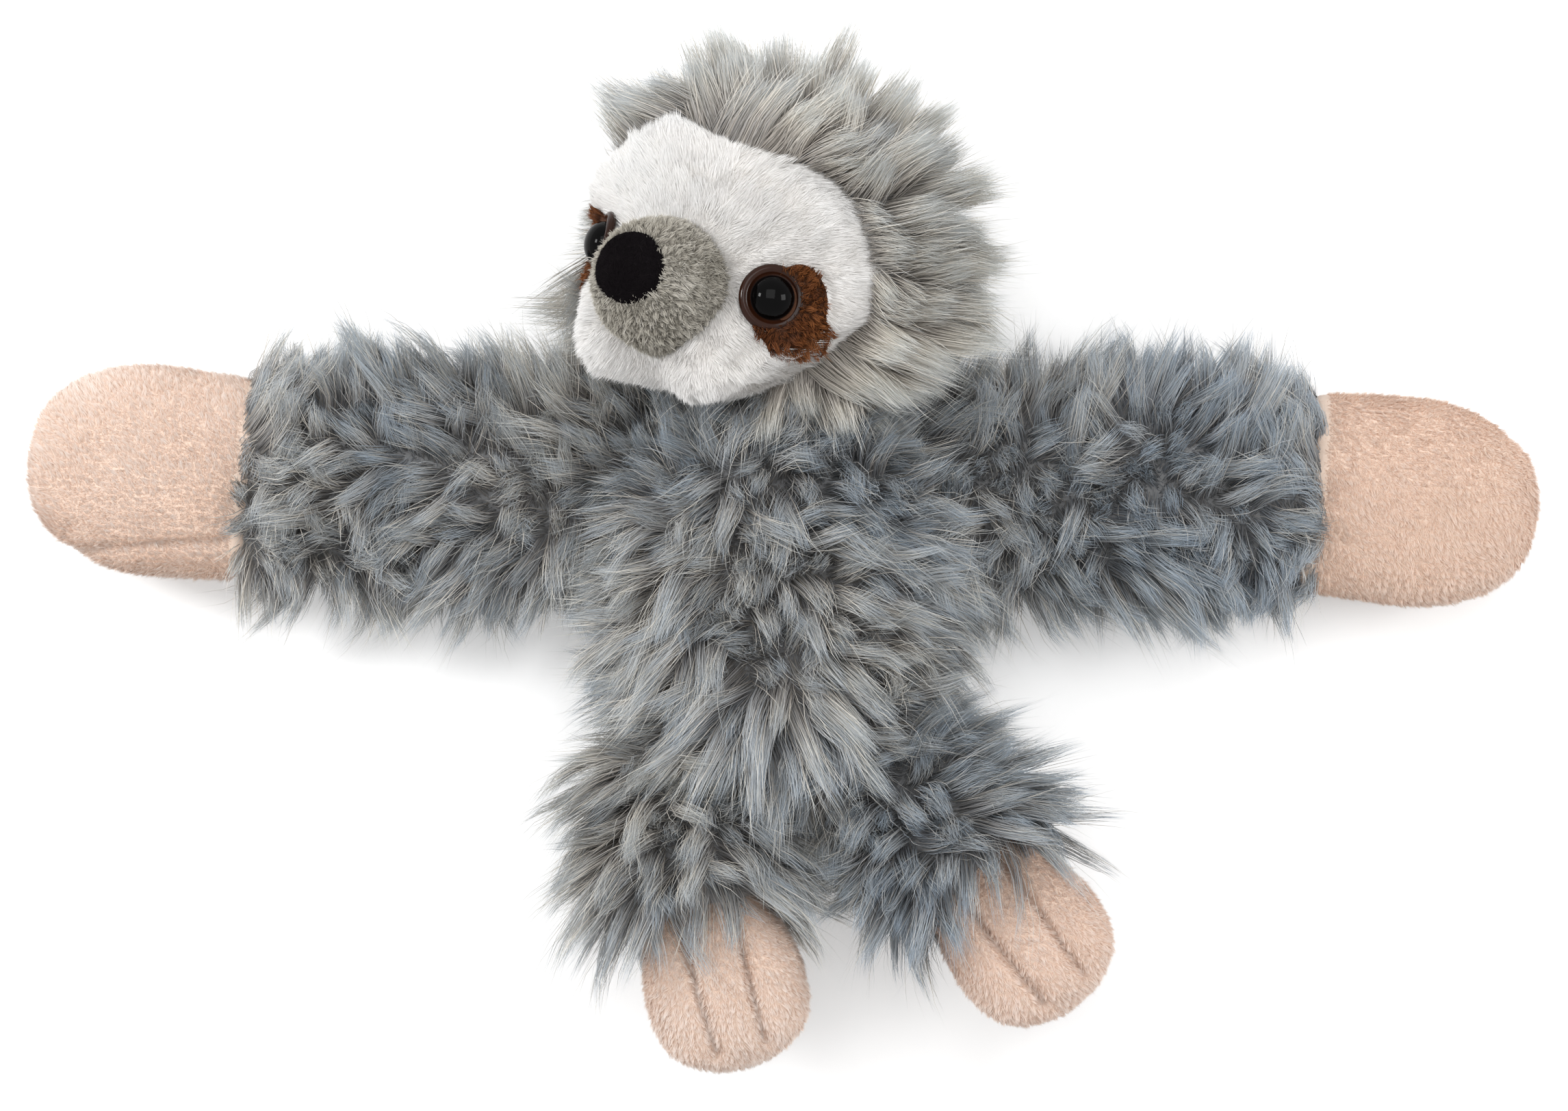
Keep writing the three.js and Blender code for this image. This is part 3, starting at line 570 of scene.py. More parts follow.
    # Each ribbon takes its strand's curve, and none goes under the ground
    along = named("along")
    rest = 1.0 - along
    curve = named("root", VECTOR) * (rest * rest) + named("middle", VECTOR) * (rest * along * 2.0)
    curve = curve + named("tip", VECTOR) * (along * along)
    curve = curve + named("side", VECTOR) * (named("across") * (1.0 - along * along))
    part = graph.add("ShaderNodeSeparateXYZ", None, curve)
    height = number("MAXIMUM", part.out("Z"), GROUND)
    curve = graph.add("ShaderNodeCombineXYZ", None, part, part.out("Y"), height)
    strands = graph.add("GeometryNodeSetPosition", None, strands, Position=curve)
    to_map = {"data_type": "FLOAT2"}
    on_map = graph.add("ShaderNodeCombineXYZ", None, named("tint"), along, 0.0)
    strands = kept(strands, STRAND_MAP, on_map, to_map, "CORNER")
    if keep_skin:
        # The skin gets the colour of a strand's root, with its painted shade.
        skin = kept(size("Skin"), STRAND_MAP, SKIN_AT_SHADED_ROOT, to_map, "CORNER")
        join = graph.add("GeometryNodeJoinGeometry", None, strands)
        graph.put(join.socket.node.inputs[0], skin)
        strands = join
    strands = graph.add("GeometryNodeSetShadeSmooth", None, strands)
    strands = graph.add("GeometryNodeSetMaterial", None, strands, Material=size("Material"))
    graph.add("NodeGroupOutput", None, strands)
    return tree


fur_tree = pile_tree("fur_pile", 3, True)
plush_tree = pile_tree("plush_pile", 2, False)
nap_tree = pile_tree("velour_nap", 1, False)
print("pile trees:", [(t.name, len(t.nodes)) for t in (fur_tree, plush_tree, nap_tree)])

# %% [markdown]
# ## Growing a pile
# The modifier's inputs are set before the piece is first evaluated, and the result is taken as a
# plain mesh, so that the finished piece no longer depends on the tree.

# %% Grow a pile on a skin
STRAND_NOTES = ("root", "middle", "tip", "side", "tint", "along", "across")
SKIN_NOTES = ("comb", "rise", "lay", "thick")
IN_MM = {"Lock Spacing", "Frizz", "Width", "Swirl", "Swirl Size", "Mess", "Curl"}
strand_total = 0


def plain_mesh(piece):
    """A piece's mesh as its modifiers leave it."""
    graph = bpy.context.evaluated_depsgraph_get()
    return bpy.data.meshes.new_from_object(piece.evaluated_get(graph), depsgraph=graph)


def bake_modifiers(piece):
    """Put what a piece's modifiers make into its mesh."""
    mesh = plain_mesh(piece)
    piece.modifiers.clear()
    piece.data = mesh


def note(piece, label, values):
    """Store a number or a direction at each point of a piece."""
    kind, key = ("FLOAT_VECTOR", "vector") if values.ndim == 2 else ("FLOAT", "value")
    attribute = piece.data.attributes.new(label, kind, "POINT")
    attribute.data.foreach_set(key, values.astype(np.float32).ravel())


def comb_skin(skin, comb, rise, lay, thick):
    """Tell the pile tree how the pile lies. rise and lay are in mm."""
    _, out = points_of(skin)
    comb = comb - out * (comb * out).sum(1, keepdims=True)
    comb /= np.maximum(np.linalg.norm(comb, axis=1, keepdims=True), 1e-6)
    count = len(out)
    note(skin, "comb", comb)
    note(skin, "rise", np.broadcast_to(rise, count) * MM)
    note(skin, "lay", np.broadcast_to(lay, count) * MM)
    note(skin, "thick", np.broadcast_to(thick, count) * 1.0)


def pile_like(pile, **changes):
    """The sizes of a pile that differs from another in some of the tree's inputs."""
    return {**pile, **{label.replace("_", " "): value for label, value in changes.items()}}


def grow(skin, tree, name, pile, material, seed, **changes):
    """Grow a pile on a skin as a plain piece of its own. Lengths of the pile are in mm."""
    global strand_total
    modifier = skin.modifiers.new("pile", "NODES")
    modifier.node_group = tree
    sizes = pile_like(pile, **changes)
    values = {label: size * MM if label in IN_MM else size for label, size in sizes.items()}
    values["Density"] = sizes["Density"] / MM**2
    values.update(Seed=seed, Material=material)
    for item in tree.interface.items_tree:
        if item.in_out == "INPUT" and item.name in values:
            modifier[item.identifier] = values[item.name]
    mesh = plain_mesh(skin)
    skin.modifiers.clear()
    mesh.name = name
    for label in STRAND_NOTES + SKIN_NOTES:
        if label in mesh.attributes:
            mesh.attributes.remove(mesh.attributes[label])
    triangles = sum(len(p.vertices) - 2 for p in mesh.polygons)
    strand_total += triangles
    print(f"  {name}: {triangles} triangles")
    return add_piece(name, mesh)


def grow_over(skin, name, *details, **changes):
    """Grow long fur that keeps its skin, and put away the bare skin."""
    piece = grow(skin, fur_tree, name, *details, **changes)
    bpy.data.objects.remove(skin)
    return piece


LONG_FUR = pile_like({}, Density=8.9, Width=0.14, Shortest=0.6, Bow=0.16, Roll=0.7)
LONG_FUR = pile_like(LONG_FUR, Lock_Spacing=2.8, Clump=0.5, Frizz=0.75, Curl=2.8, Stray=0.13)
LONG_FUR = pile_like(LONG_FUR, Swirl=30.0, Swirl_Size=15.0, Mess=5.3, Tint=0.47, Tint_Spread=0.55)
print("long fur:", LONG_FUR["Density"], "strands to each square millimetre")

# %% [markdown]
# ## Torso
# The torso is a soft egg, pressed flat where it lies. Its skin is the solid's outline drawn in by
# the height of the pile, so that the fur's surface comes out where the solid says. The hair runs
# down and outwards, in locks that have been ruffled by hands.

# %% Torso
FUR_PILE = 8
TORSO_SHARES = [[0, 0], [0.025, 0.36], [0.1, 0.7], [0.22, 0.9], [0.36, 0.98], [0.52, 1]]
TORSO_SHARES += [[0.66, 0.975], [0.8, 0.87], [0.93, 0.6], [0.98, 0.35], [1, 0]]
TORSO = (88, 37, 29.5, 2.0, TORSO_SHARES)
TORSO_BELOW = 44
TORSO_RISE, TORSO_LAY = 10.0, 4.5
PARTING = 30
UNDER_LEAST, UNDER_MORE = 0.42, 0.58
torso_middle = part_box("torso_front")[0].z / MM

rings = swell(TORSO, -FUR_PILE, 64, 72)
rings = np.stack([rings[..., 0], rings[..., 2] - TORSO_BELOW, torso_middle - rings[..., 1]], -1)


def underside_thinner(out):
    """Fewer strands where the toy lies on them."""
    return UNDER_LEAST + UNDER_MORE * smooth_step(out[:, 2], -0.5, 0.2)


def dress_torso(name, keep, seed):
    """One panel of the torso, with its hair parted along the middle."""
    skin = piece_of_rings(name + "_skin", rings, keep)
    place, out = points_of(skin)
    aside = place[:, 0] / PARTING
    comb = np.stack([aside, np.full(len(place), -0.6), np.zeros(len(place))], 1)
    comb_skin(skin, comb, TORSO_RISE, TORSO_LAY, underside_thinner(out))
    return grow_over(skin, name, LONG_FUR, fur, seed)


chest = dress_torso("torso_chest", lambda m: (m[:, 2] >= torso_middle) & (m[:, 1] >= 0), 11)
belly = dress_torso("torso_belly", lambda m: (m[:, 2] >= torso_middle) & (m[:, 1] < 0), 12)
back = dress_torso("torso_back_fur", lambda m: m[:, 2] < torso_middle, 13)
print("torso pieces:", chest.name, belly.name, back.name)

# %% [markdown]
# ## Where the head is
# The head is turned to the toy's right, nods a little and is tilted. Its place is worked out as the
# solids do it, and every piece of the head is drawn in that place.

# %% Head place
CORE = np.array([31.5, 25.5, 27.0])
HOOD = np.array([43.8, 34.8, 33.3])
HOOD_BACK = 5
NECK = np.array([0.0, 37.0, 34.0])
HEAD_X, HEAD_RISE, FLAT_DEPTH = -3, 29.3, 0.5
FACE_HALF_WIDTH, FACE_DROP, FOREHEAD_DIP = 30.0, 2.8, 2.4
BROW_HEIGHT, JAW_HEIGHT = 24.2, 24.2
BROW_SQUARENESS, JAW_SQUARENESS = 2.25, 1.52
TURN, NOD, TILT = (math.radians(a) for a in (-32.7, 2.9, -16.8))

turned = Matrix.Rotation(TURN, 4, "Y") @ Matrix.Rotation(NOD, 4, "X")
head = np.array(turned @ Matrix.Rotation(TILT, 4, "Z"))
up_in_head = head[:3, :3].T @ np.array([0, 0, 1])
reach = np.linalg.norm(up_in_head * HOOD)
head[:3, 3] = (HEAD_X, NECK[1] + HEAD_RISE, reach + up_in_head[2] * HOOD_BACK - FLAT_DEPTH)


def in_head(points):
    """Points in mm as the head's own place counts them."""
    return seen_from(points, head)


def face_outline(angle, margin=0.0):
    """The panel's edge, seen from in front: square at the brow, round at the jaw, with a dip."""
    brow = np.sin(angle) > 0
    height = np.where(brow, BROW_HEIGHT, JAW_HEIGHT) + margin
    squareness = np.where(brow, BROW_SQUARENESS, JAW_SQUARENESS)
    x, y = rounded(angle, FACE_HALF_WIDTH + margin, height, squareness)
    dip = FOREHEAD_DIP * np.maximum(0, np.sin(angle)) * np.cos(2 * angle) ** 2
    return x, y - FACE_DROP - dip


print("head centre:", [round(c, 1) for c in head[:3, 3]])

# %% [markdown]
# ## Hood
# Long fur runs round the head from the edge of the face. It starts low at that edge, laid back
# from the face, and stands up towards the sides and the crown, so it makes a halo in the photo.

# %% Hood
HOOD_SIDES, HOOD_ROWS = 96, 40
HOOD_SKIN_OUT, HOOD_EDGE_IN = 0.3, -0.5
HOOD_LOW, HOOD_HIGH = 5, 14
STAND_UP, CROWN_UP = 1.5, 2.8
FRONT_LOWER, BUNCH_KEEPS, FLAT_LOWER = 0.6, 0.6, 0.8
LAY_BACK, LAY_FRONT, LAY_CROWN, LAY_BUNCH, LAY_WHISKER = 3.5, 7, 3, 4, 10
angle = np.arange(HOOD_SIDES) * 2 * math.pi / HOOD_SIDES
edge_x, edge_y = face_outline(angle, HOOD_EDGE_IN)
skin_sizes = CORE + HOOD_SKIN_OUT
reach_x, reach_y = edge_x / skin_sizes[0], edge_y / skin_sizes[1]
from_front = np.arcsin(np.minimum(np.hypot(reach_x, reach_y), 1.0))
around = np.arctan2(reach_y, reach_x)
share = np.linspace(0, 1, HOOD_ROWS)[:, None]
polar = from_front + (math.pi - from_front) * share
wide, tall, deep = skin_sizes
across, upwards = wide * np.sin(polar) * np.cos(around), tall * np.sin(polar) * np.sin(around)
hood_rings = laid(np.stack([across, upwards, deep * np.cos(polar)], -1)[::-1], head)


def hood_height(local, out):
    """How far the hood's surface stands off the skin along the way out."""
    start = (local + [0, 0, HOOD_BACK]) / HOOD
    way = out / HOOD
    a, b, c = (way * way).sum(1), (start * way).sum(1), (start * start).sum(1) - 1
    return (np.sqrt(np.maximum(b * b - a * c, 0)) - b) / a


UP_LEFT, LEFT = (np.array(way) @ head[:3, :3] for way in ((-0.8, 0.6, 0), (-1, -0.5, 0)))
HOOD_FUR = pile_like(LONG_FUR, Density=9.7, Width=0.13, Shortest=0.75, Tint=0.84, Tint_Spread=0.5)
HOOD_FUR = pile_like(HOOD_FUR, Swirl_Size=24.0, Mess=3.6, Lock_Spacing=4.6, Clump=0.3, Curl=1.4)
HOOD_FUR = pile_like(HOOD_FUR, Stray=0.08)


def dress_hood(name, side, seed):
    """One half of the hood. The right half has a bunch of hair at the brow, flatter hair beside
    the eye and whiskers at the cheek, as the photo shows."""
    skin = piece_of_rings(name + "_skin", hood_rings, lambda m: side * in_head(m)[:, 0] >= 0)
    place, out = points_of(skin)
    local, local_out = in_head(place), out @ head[:3, :3]
    x, y, z = local.T
    front = smooth_step(z, 4, 21)
    height = np.clip(hood_height(local, local_out), HOOD_LOW, HOOD_HIGH)
    crown = smooth_step(y - 0.4 * x, -8, 22)
    flat = smooth_step(-x, 14, 24) * smooth_step(y, -5, -1) * (1 - smooth_step(y, 8, 12))
    bunch = smooth_step(-x, 4, 14) * smooth_step(y, 9, 15)
    whisker = smooth_step(-x, 8, 20) * (1 - smooth_step(y, -8, -3))
    lowered = 1 - FRONT_LOWER * front * (1 - BUNCH_KEEPS * bunch)
    rise = (height + STAND_UP + CROWN_UP * crown) * lowered * (1 - FLAT_LOWER * flat)
    away = local / np.linalg.norm(local, axis=1, keepdims=True) * [1, 1, 0] + [0, 0, -0.35]
    away = away * (1 - bunch - whisker)[:, None]
    away = away + bunch[:, None] * UP_LEFT + whisker[:, None] * LEFT
    lay = (LAY_BACK + (LAY_FRONT + LAY_CROWN * crown) * front) * (1 - 0.6 * flat)
    lay = lay + LAY_BUNCH * bunch + LAY_WHISKER * whisker
    comb_skin(skin, away @ head[:3, :3].T, rise, lay, underside_thinner(out))
    return grow_over(skin, name, HOOD_FUR, fur, seed)


hood_left = dress_hood("hood_fur_left", 1, 21)
hood_right = dress_hood("hood_fur_right", -1, 22)
print("hood pieces:", hood_left.name, hood_right.name)

# %% [markdown]
# ## Face
# The face is a panel of short white plush. Two soft bulges below the muzzle make the chin, with a
# crease between them, and the edge of the panel rolls down into the seam with the hood.

# %% Face
FACE_SIDES, FACE_ROWS = 144, 60
FACE_SKIN_OUT, FACE_EDGE_OUT = 1.7, 0.2
JAW_BOX, BROW_BOX = 0.27, 0.12
FACE_LOBES = [
    ((12, -20), (7, 9), (0, -3.8, 9)),
    ((-12, -20), (7, 9), (0, -4.8, 9.6)),
    ((-13.6, 17.2), (7.6, 7.6), (0, 3.5, -1.7)),
    ((-25, 4), (6, 5), (-2.4, 0, 2)),
    ((19.2, -3.9), (5.5, 5.5), (0, 0, -1.6)),
    ((-19.2, -3.9), (5.5, 5.5), (0, 0, -1.6)),
    ((-26, -7), (4.5, 5), (2, 0, -2.6)),
]
CREASE_WIDTH, CREASE_TOP, CREASE_DEPTH = 2.4, 16, 0.24

angle = np.arange(FACE_SIDES) * 2 * math.pi / FACE_SIDES
edge_x, edge_y = face_outline(angle)
edge_turn = np.arctan2(edge_y + FACE_DROP, edge_x)
edge_order = np.argsort(edge_turn)
edge_turn = edge_turn[edge_order]
edge_reach = np.hypot(edge_x, edge_y + FACE_DROP)[edge_order]


def face_front(x, y, out_by):
    """The point of the stuffed face at x, y, seen from in front. Its edge rolls to the seam."""
    way = np.arctan2(y + FACE_DROP, x)
    share = np.hypot(x, y + FACE_DROP) / np.interp(way, edge_turn, edge_reach, period=2 * math.pi)
    roll = np.sqrt(np.maximum(1 - smooth_step(share, 0.88, 1.0) ** 2, 0))
    a, b, c = (half + FACE_EDGE_OUT + (out_by - FACE_EDGE_OUT) * roll for half in CORE)
    over = np.maximum(np.hypot(x / a, y / b), 1)
    x, y = x / over, y / over
    left = np.maximum(1 - (x / a) ** 2 - (y / b) ** 2, 0)
    box = JAW_BOX * smooth_step(-y, -0.7, 12) + BROW_BOX * smooth_step(y, 4, 14)
    depth = c * (np.sqrt(left) * (1 - roll) + left ** (0.5 - box) * roll)
    crease = np.exp(-((x / CREASE_WIDTH) ** 2)) * smooth_step(-y, CREASE_TOP, CREASE_TOP + 6)
    point = np.stack([x, y, depth], -1)
    for (at_x, at_y), (wide, tall), push in FACE_LOBES:
        share = np.exp(-(((x - at_x) / wide) ** 2 + ((y - at_y) / tall) ** 2) / 2)
        point = point + (share * (1 - CREASE_DEPTH * crease) * roll)[..., None] * np.array(push)
    return point


share = np.linspace(0, 1, FACE_ROWS)[:, None]
face_points = face_front(edge_x * share, (edge_y + FACE_DROP) * share - FACE_DROP, FACE_SKIN_OUT)
face_rings = laid(face_points[::-1], head)
face = piece_of_rings("face_plush", face_rings)
face.data.materials.append(white_cloth)
print("face panel:", len(face.data.polygons), "faces")

# %% [markdown]
# ## Muzzle and nose
# The muzzle is a stuffed cap of curly grey plush, set on the face and looking a little upwards. The
# nose is a pad of black felt on its end.

# %% Muzzle
MUZZLE_SHARES = [[0, 1], [0.3, 1], [0.55, 0.96], [0.75, 0.87], [0.92, 0.66], [1, 0.45]]
MUZZLE = (20.5, 12.9, 12.9, 2.0, MUZZLE_SHARES)
MUZZLE_DROP, MUZZLE_BACK, MUZZLE_LIFT, MUZZLE_LEAN = 8.6, 24, math.radians(10.5), -0.035
MUZZLE_SKIN, MUZZLE_FOOT, MUZZLE_END = 1.0, -3, 19.5
MUZZLE_RISE, MUZZLE_LAY = 1.0, 0.7
NOSE_RISE, NOSE_STRETCH, NOSE_WOBBLE = 0.8, 1.08, 0.012
NOSE_CLEAR = (5.7, 6.7)

muzzle_way = (MUZZLE_LEAN, math.sin(MUZZLE_LIFT), math.cos(MUZZLE_LIFT))
muzzle_place = place_at((0, -MUZZLE_DROP, MUZZLE_BACK), muzzle_way, (0, 1, 0), head)
rings = swell(MUZZLE, -MUZZLE_SKIN, 32, 64, ends=(MUZZLE_FOOT, MUZZLE_END))
muzzle = piece_of_rings("muzzle_plush", laid(capped(rings, first=False), muzzle_place))
muzzle.data.materials.append(muzzle_cloth)

place, _ = points_of(muzzle)
local = seen_from(place, muzzle_place)
comb = np.stack([local[:, 0] * 0.3, local[:, 1] * 0.3 - 2, np.full(len(local), -9.0)], 1)
under_nose = np.hypot(local[:, 0], local[:, 1] - NOSE_RISE) + 4 * (local[:, 2] < 12)
thick = smooth_step(local[:, 2], -2, 1) * smooth_step(under_nose, *NOSE_CLEAR)
comb_skin(muzzle, comb @ muzzle_place[:3, :3].T, MUZZLE_RISE, MUZZLE_LAY, thick)
CURLY_PLUSH = pile_like({}, Density=21.0, Width=0.15, Shortest=0.6, Bow=0.25, Roll=0.7)
CURLY_PLUSH = pile_like(CURLY_PLUSH, Lock_Spacing=0.85, Clump=0.65, Frizz=0.26, Curl=0.2)
CURLY_PLUSH = pile_like(CURLY_PLUSH, Swirl=3.0, Swirl_Size=5.0, Mess=0.6, Stray=0.04)
CURLY_PLUSH = pile_like(CURLY_PLUSH, Tint=0.45, Tint_Spread=0.8)
muzzle_nap = grow(muzzle, plush_tree, "muzzle_pile", CURLY_PLUSH, muzzle_pile, 32)
print("muzzle at", [round(c, 1) for c in muzzle_place[:3, 3]])

# %% Nose
NOSE_PROFILE = [[0, 17.6], [5.6, 16.9], [6.4, 17.3], [6.7, 18.3], [6.4, 19.5], [5.4, 20.6]]
NOSE_PROFILE += [[3.7, 21.5], [1.7, 22.0], [0, 22.1]]
FELT_WAY, FELT_RISE, FELT_LAY = (0.3, 0.5, 0.8), 0.12, 0.35


def turned_rings(profile, sides=48, steps=40, wobble=0.0):
    """Rings turned about +Z from [radius, height] pairs, a little out of round."""
    radius, height = through(profile, steps).T
    angle = np.arange(sides) * 2 * math.pi / sides
    uneven = 1 + wobble * (np.cos(3 * angle + 1) + 0.7 * np.cos(5 * angle))
    ring = np.maximum(radius, 0)[:, None] * uneven
    z = np.broadcast_to(height[:, None], ring.shape)
    return np.stack([ring * np.cos(angle), ring * np.sin(angle), z], -1)


nose_rings = turned_rings(NOSE_PROFILE, wobble=NOSE_WOBBLE)
nose_rings = nose_rings * [NOSE_STRETCH, 1, 1] + [0, NOSE_RISE, 0]
nose = piece_of_rings("nose_felt", laid(nose_rings, muzzle_place))
nose.data.materials.append(black_felt)
_, out = points_of(nose)
comb_skin(nose, np.cross(out, FELT_WAY), FELT_RISE, FELT_LAY, 1.0)
FELT_NAP = pile_like(CURLY_PLUSH, Density=26.0, Width=0.1, Frizz=0.15, Swirl=1.5)
nose_nap = grow(nose, nap_tree, "nose_pile", FELT_NAP, felt_pile, 33)
print("nose pad:", 2 * max(radius for radius, _ in NOSE_PROFILE), "mm across")

# %% [markdown]
# ## Eyes and eye patches
# A safety eye is a brown base with a shank behind it and a glossy black dome on it. The dome is
# turned smooth, because its reflections show every flat. Behind each eye lies a patch of brown
# curly plush that runs to a point towards the cheek.

# %% Eyes
EYE_SIDE, EYE_DROP = 18.5, 4.0
EYE_TURN_OUT, EYE_TURN_UP = 0.2, 0.05
EYE_OUT = 2.1
EYE_BASE = [[0, -8], [1.2, -8], [1.5, -7.6], [1.5, -2], [1.5, 0.1], [2.2, 0.3], [5.4, 0.3]]
EYE_BASE += [[5.95, 0.6], [6.15, 1.1], [6.0, 1.6], [5.5, 1.95], [4.8, 1.9], [4.15, 1.6]]
EYE_BASE += [[2.5, 1.5], [0, 1.5]]
LENS_RADIUS, LENS_HEIGHT, LENS_FOOT, LENS_SUNK = 4.05, 3.1, 1.6, 0.4


def eye_place(side):
    """An eye's place: it looks along the face's own way out, turned a little outwards and up."""
    x = side * EYE_SIDE + np.array([0, 1, 0])
    y = -EYE_DROP + np.array([0, 0, 1])
    here, aside, above = face_front(x, y, EYE_OUT)
    out = np.cross(aside - here, above - here)
    out /= np.linalg.norm(out)
    return place_at(here, out + [side * EYE_TURN_OUT, EYE_TURN_UP, 0], (0, 1, 0), head)


def lens_profile(steps=12):
    """[radius, height] pairs of the black dome."""
    turns = np.linspace(0, math.pi / 2, steps)
    dome = [[LENS_RADIUS * math.cos(t), LENS_FOOT + LENS_HEIGHT * math.sin(t)] for t in turns]
    dome[-1][0] = 0
    return [[0, LENS_FOOT - LENS_SUNK], [LENS_RADIUS - 0.2, LENS_FOOT - LENS_SUNK], *dome]


eyes = {}
for side, sign in (("left", 1), ("right", -1)):
    at = eye_place(sign)
    base = piece_of_rings(f"eye_{side}_base", laid(turned_rings(EYE_BASE, 64, 84), at))
    lens = piece_of_rings(f"eye_{side}_lens", laid(turned_rings(lens_profile(), 64, 56), at))
    base.data.materials.append(eye_brown)
    lens.data.materials.append(eye_black)
    eyes[side] = (base, lens)
print("eyes look along", [np.round(eye_place(s)[:3, 2], 2).tolist() for s in (1, -1)])

# %% Eye patches
PATCH_UNIT = 5.5
PATCH_SHARES = [[0.1, 0.95], [0.6, 1.25], [1.1, 1], [1.45, 0.4], [1.6, -0.3], [1.5, -0.95]]
PATCH_SHARES += [[0.8, -1.85], [0.45, -1.3], [-0.1, -0.8], [-0.2, 0.1]]
PATCH_OUT, PATCH_CROWN, PATCH_ROWS = 2.6, 0.5, 9
PATCH_RISE, PATCH_LAY = 1.3, 0.8
FAR_BROW_COVER = 0.3
ROUND_EYE = (5.4, 6.2)
PATCH_PLUSH = pile_like(CURLY_PLUSH, Density=30.0, Width=0.14, Lock_Spacing=1.0, Clump=0.6)
PATCH_PLUSH = pile_like(PATCH_PLUSH, Mess=0.7, Curl=0.4)


def patch_corners(sign):
    """The patch's outline on the face. On the far side the brow hides its upper part."""
    corners = through(PATCH_SHARES + PATCH_SHARES[:1], 37)[:-1]
    if sign < 0:
        corners[:, 1] -= FAR_BROW_COVER * np.maximum(corners[:, 1], 0)
    return corners * PATCH_UNIT * [sign, 1] + [sign * EYE_SIDE, -EYE_DROP]


patches = {}
for side, sign in (("left", 1), ("right", -1)):
    corners = patch_corners(sign)[::-sign]
    middle = corners.mean(0)
    share = np.linspace(0, 1, PATCH_ROWS)[:, None, None]
    flat = middle + (corners - middle) * share
    thickness = PATCH_OUT + PATCH_CROWN * np.sqrt(1 - share[..., 0] ** 2)
    rings = face_front(flat[..., 0], flat[..., 1], thickness)
    patch = piece_of_rings(f"eye_patch_{side}_plush", laid(rings[::-1], head))
    patch.data.materials.append(brown_cloth)
    place, _ = points_of(patch)
    away = place - eye_place(sign)[:3, 3]
    thick = smooth_step(np.linalg.norm(away, axis=1), *ROUND_EYE)
    comb_skin(patch, away, PATCH_RISE, PATCH_LAY, thick)
    pile = grow(patch, plush_tree, f"eye_patch_{side}_pile", PATCH_PLUSH, brown_pile, 34)
    patches[side] = (patch, pile)
print("patches:", [p[0].name for p in patches.values()])

# %% [markdown]
# The white pile grows last. It leaves room for the muzzle, the eyes and their patches, where the
# real panel is covered, and it leans away from the nose as if it had been stroked.

# %% Face pile
FACE_RISE, FACE_LAY = 1.2, 2.0
ROUND_MUZZLE, ROUND_PATCH, UNDER_EYE = (10.6, 11.6), (-0.6, 0.4), (4.6, 5.4)
WHITE_PLUSH = pile_like(CURLY_PLUSH, Density=32.0, Width=0.15, Lock_Spacing=2.2, Clump=0.1)
WHITE_PLUSH = pile_like(WHITE_PLUSH, Frizz=0.2, Mess=0.5, Swirl=3.0, Swirl_Size=8.0, Curl=0.0)


def beyond(points, corners):
    """How far points lie outside a closed outline, negative inside, as its middle sees them."""
    middle = corners.mean(0)
    edge = corners - middle
    turn = np.arctan2(edge[:, 1], edge[:, 0])
    order = np.argsort(turn)
    from_middle = points - middle
    way = np.arctan2(from_middle[:, 1], from_middle[:, 0])
    reach = np.interp(way, turn[order], np.linalg.norm(edge, axis=1)[order], period=2 * math.pi)
    return np.linalg.norm(from_middle, axis=1) - reach


place, _ = points_of(face)
local = in_head(place)
comb = np.stack([local[:, 0], local[:, 1] + 4, np.zeros(len(local))], 1)
in_muzzle = seen_from(place, muzzle_place)
thick = smooth_step(np.hypot(in_muzzle[:, 0], in_muzzle[:, 1]), *ROUND_MUZZLE)
for sign in (1, -1):
    thick = thick * smooth_step(beyond(local[:, :2], patch_corners(sign)), *ROUND_PATCH)
    from_eye = np.hypot(local[:, 0] - sign * EYE_SIDE, local[:, 1] + EYE_DROP)
    thick = thick * smooth_step(from_eye, *UNDER_EYE)
comb_skin(face, comb @ head[:3, :3].T, FACE_RISE, FACE_LAY, thick)
face_pile = grow(face, nap_tree, "face_pile", WHITE_PLUSH, white_pile, 31)
print("bare under the muzzle, eyes and patches:", int((thick < 0.5).sum()), "points of the face")

# %% [markdown]
# ## Stuffing a cover
# A hand or a foot is two panels sewn together and filled with fibre until they are tight. Cloth
# does what the fibre does: the shape is remeshed evenly, held at its open end, and blown up a
# little. It is worked out at eight times the size, because Cloth is unsteady on very small things.

# %% Stuff a cover
SIM_SCALE = 8
VOXEL = 1.6
EVEN_SHARE, EVEN_ROUNDS = 0.5, 4
FILL_PRESSURE = 24
CLOTH_STIFFNESS, CLOTH_QUALITY = 8, 4
FILL_FRAMES = 20


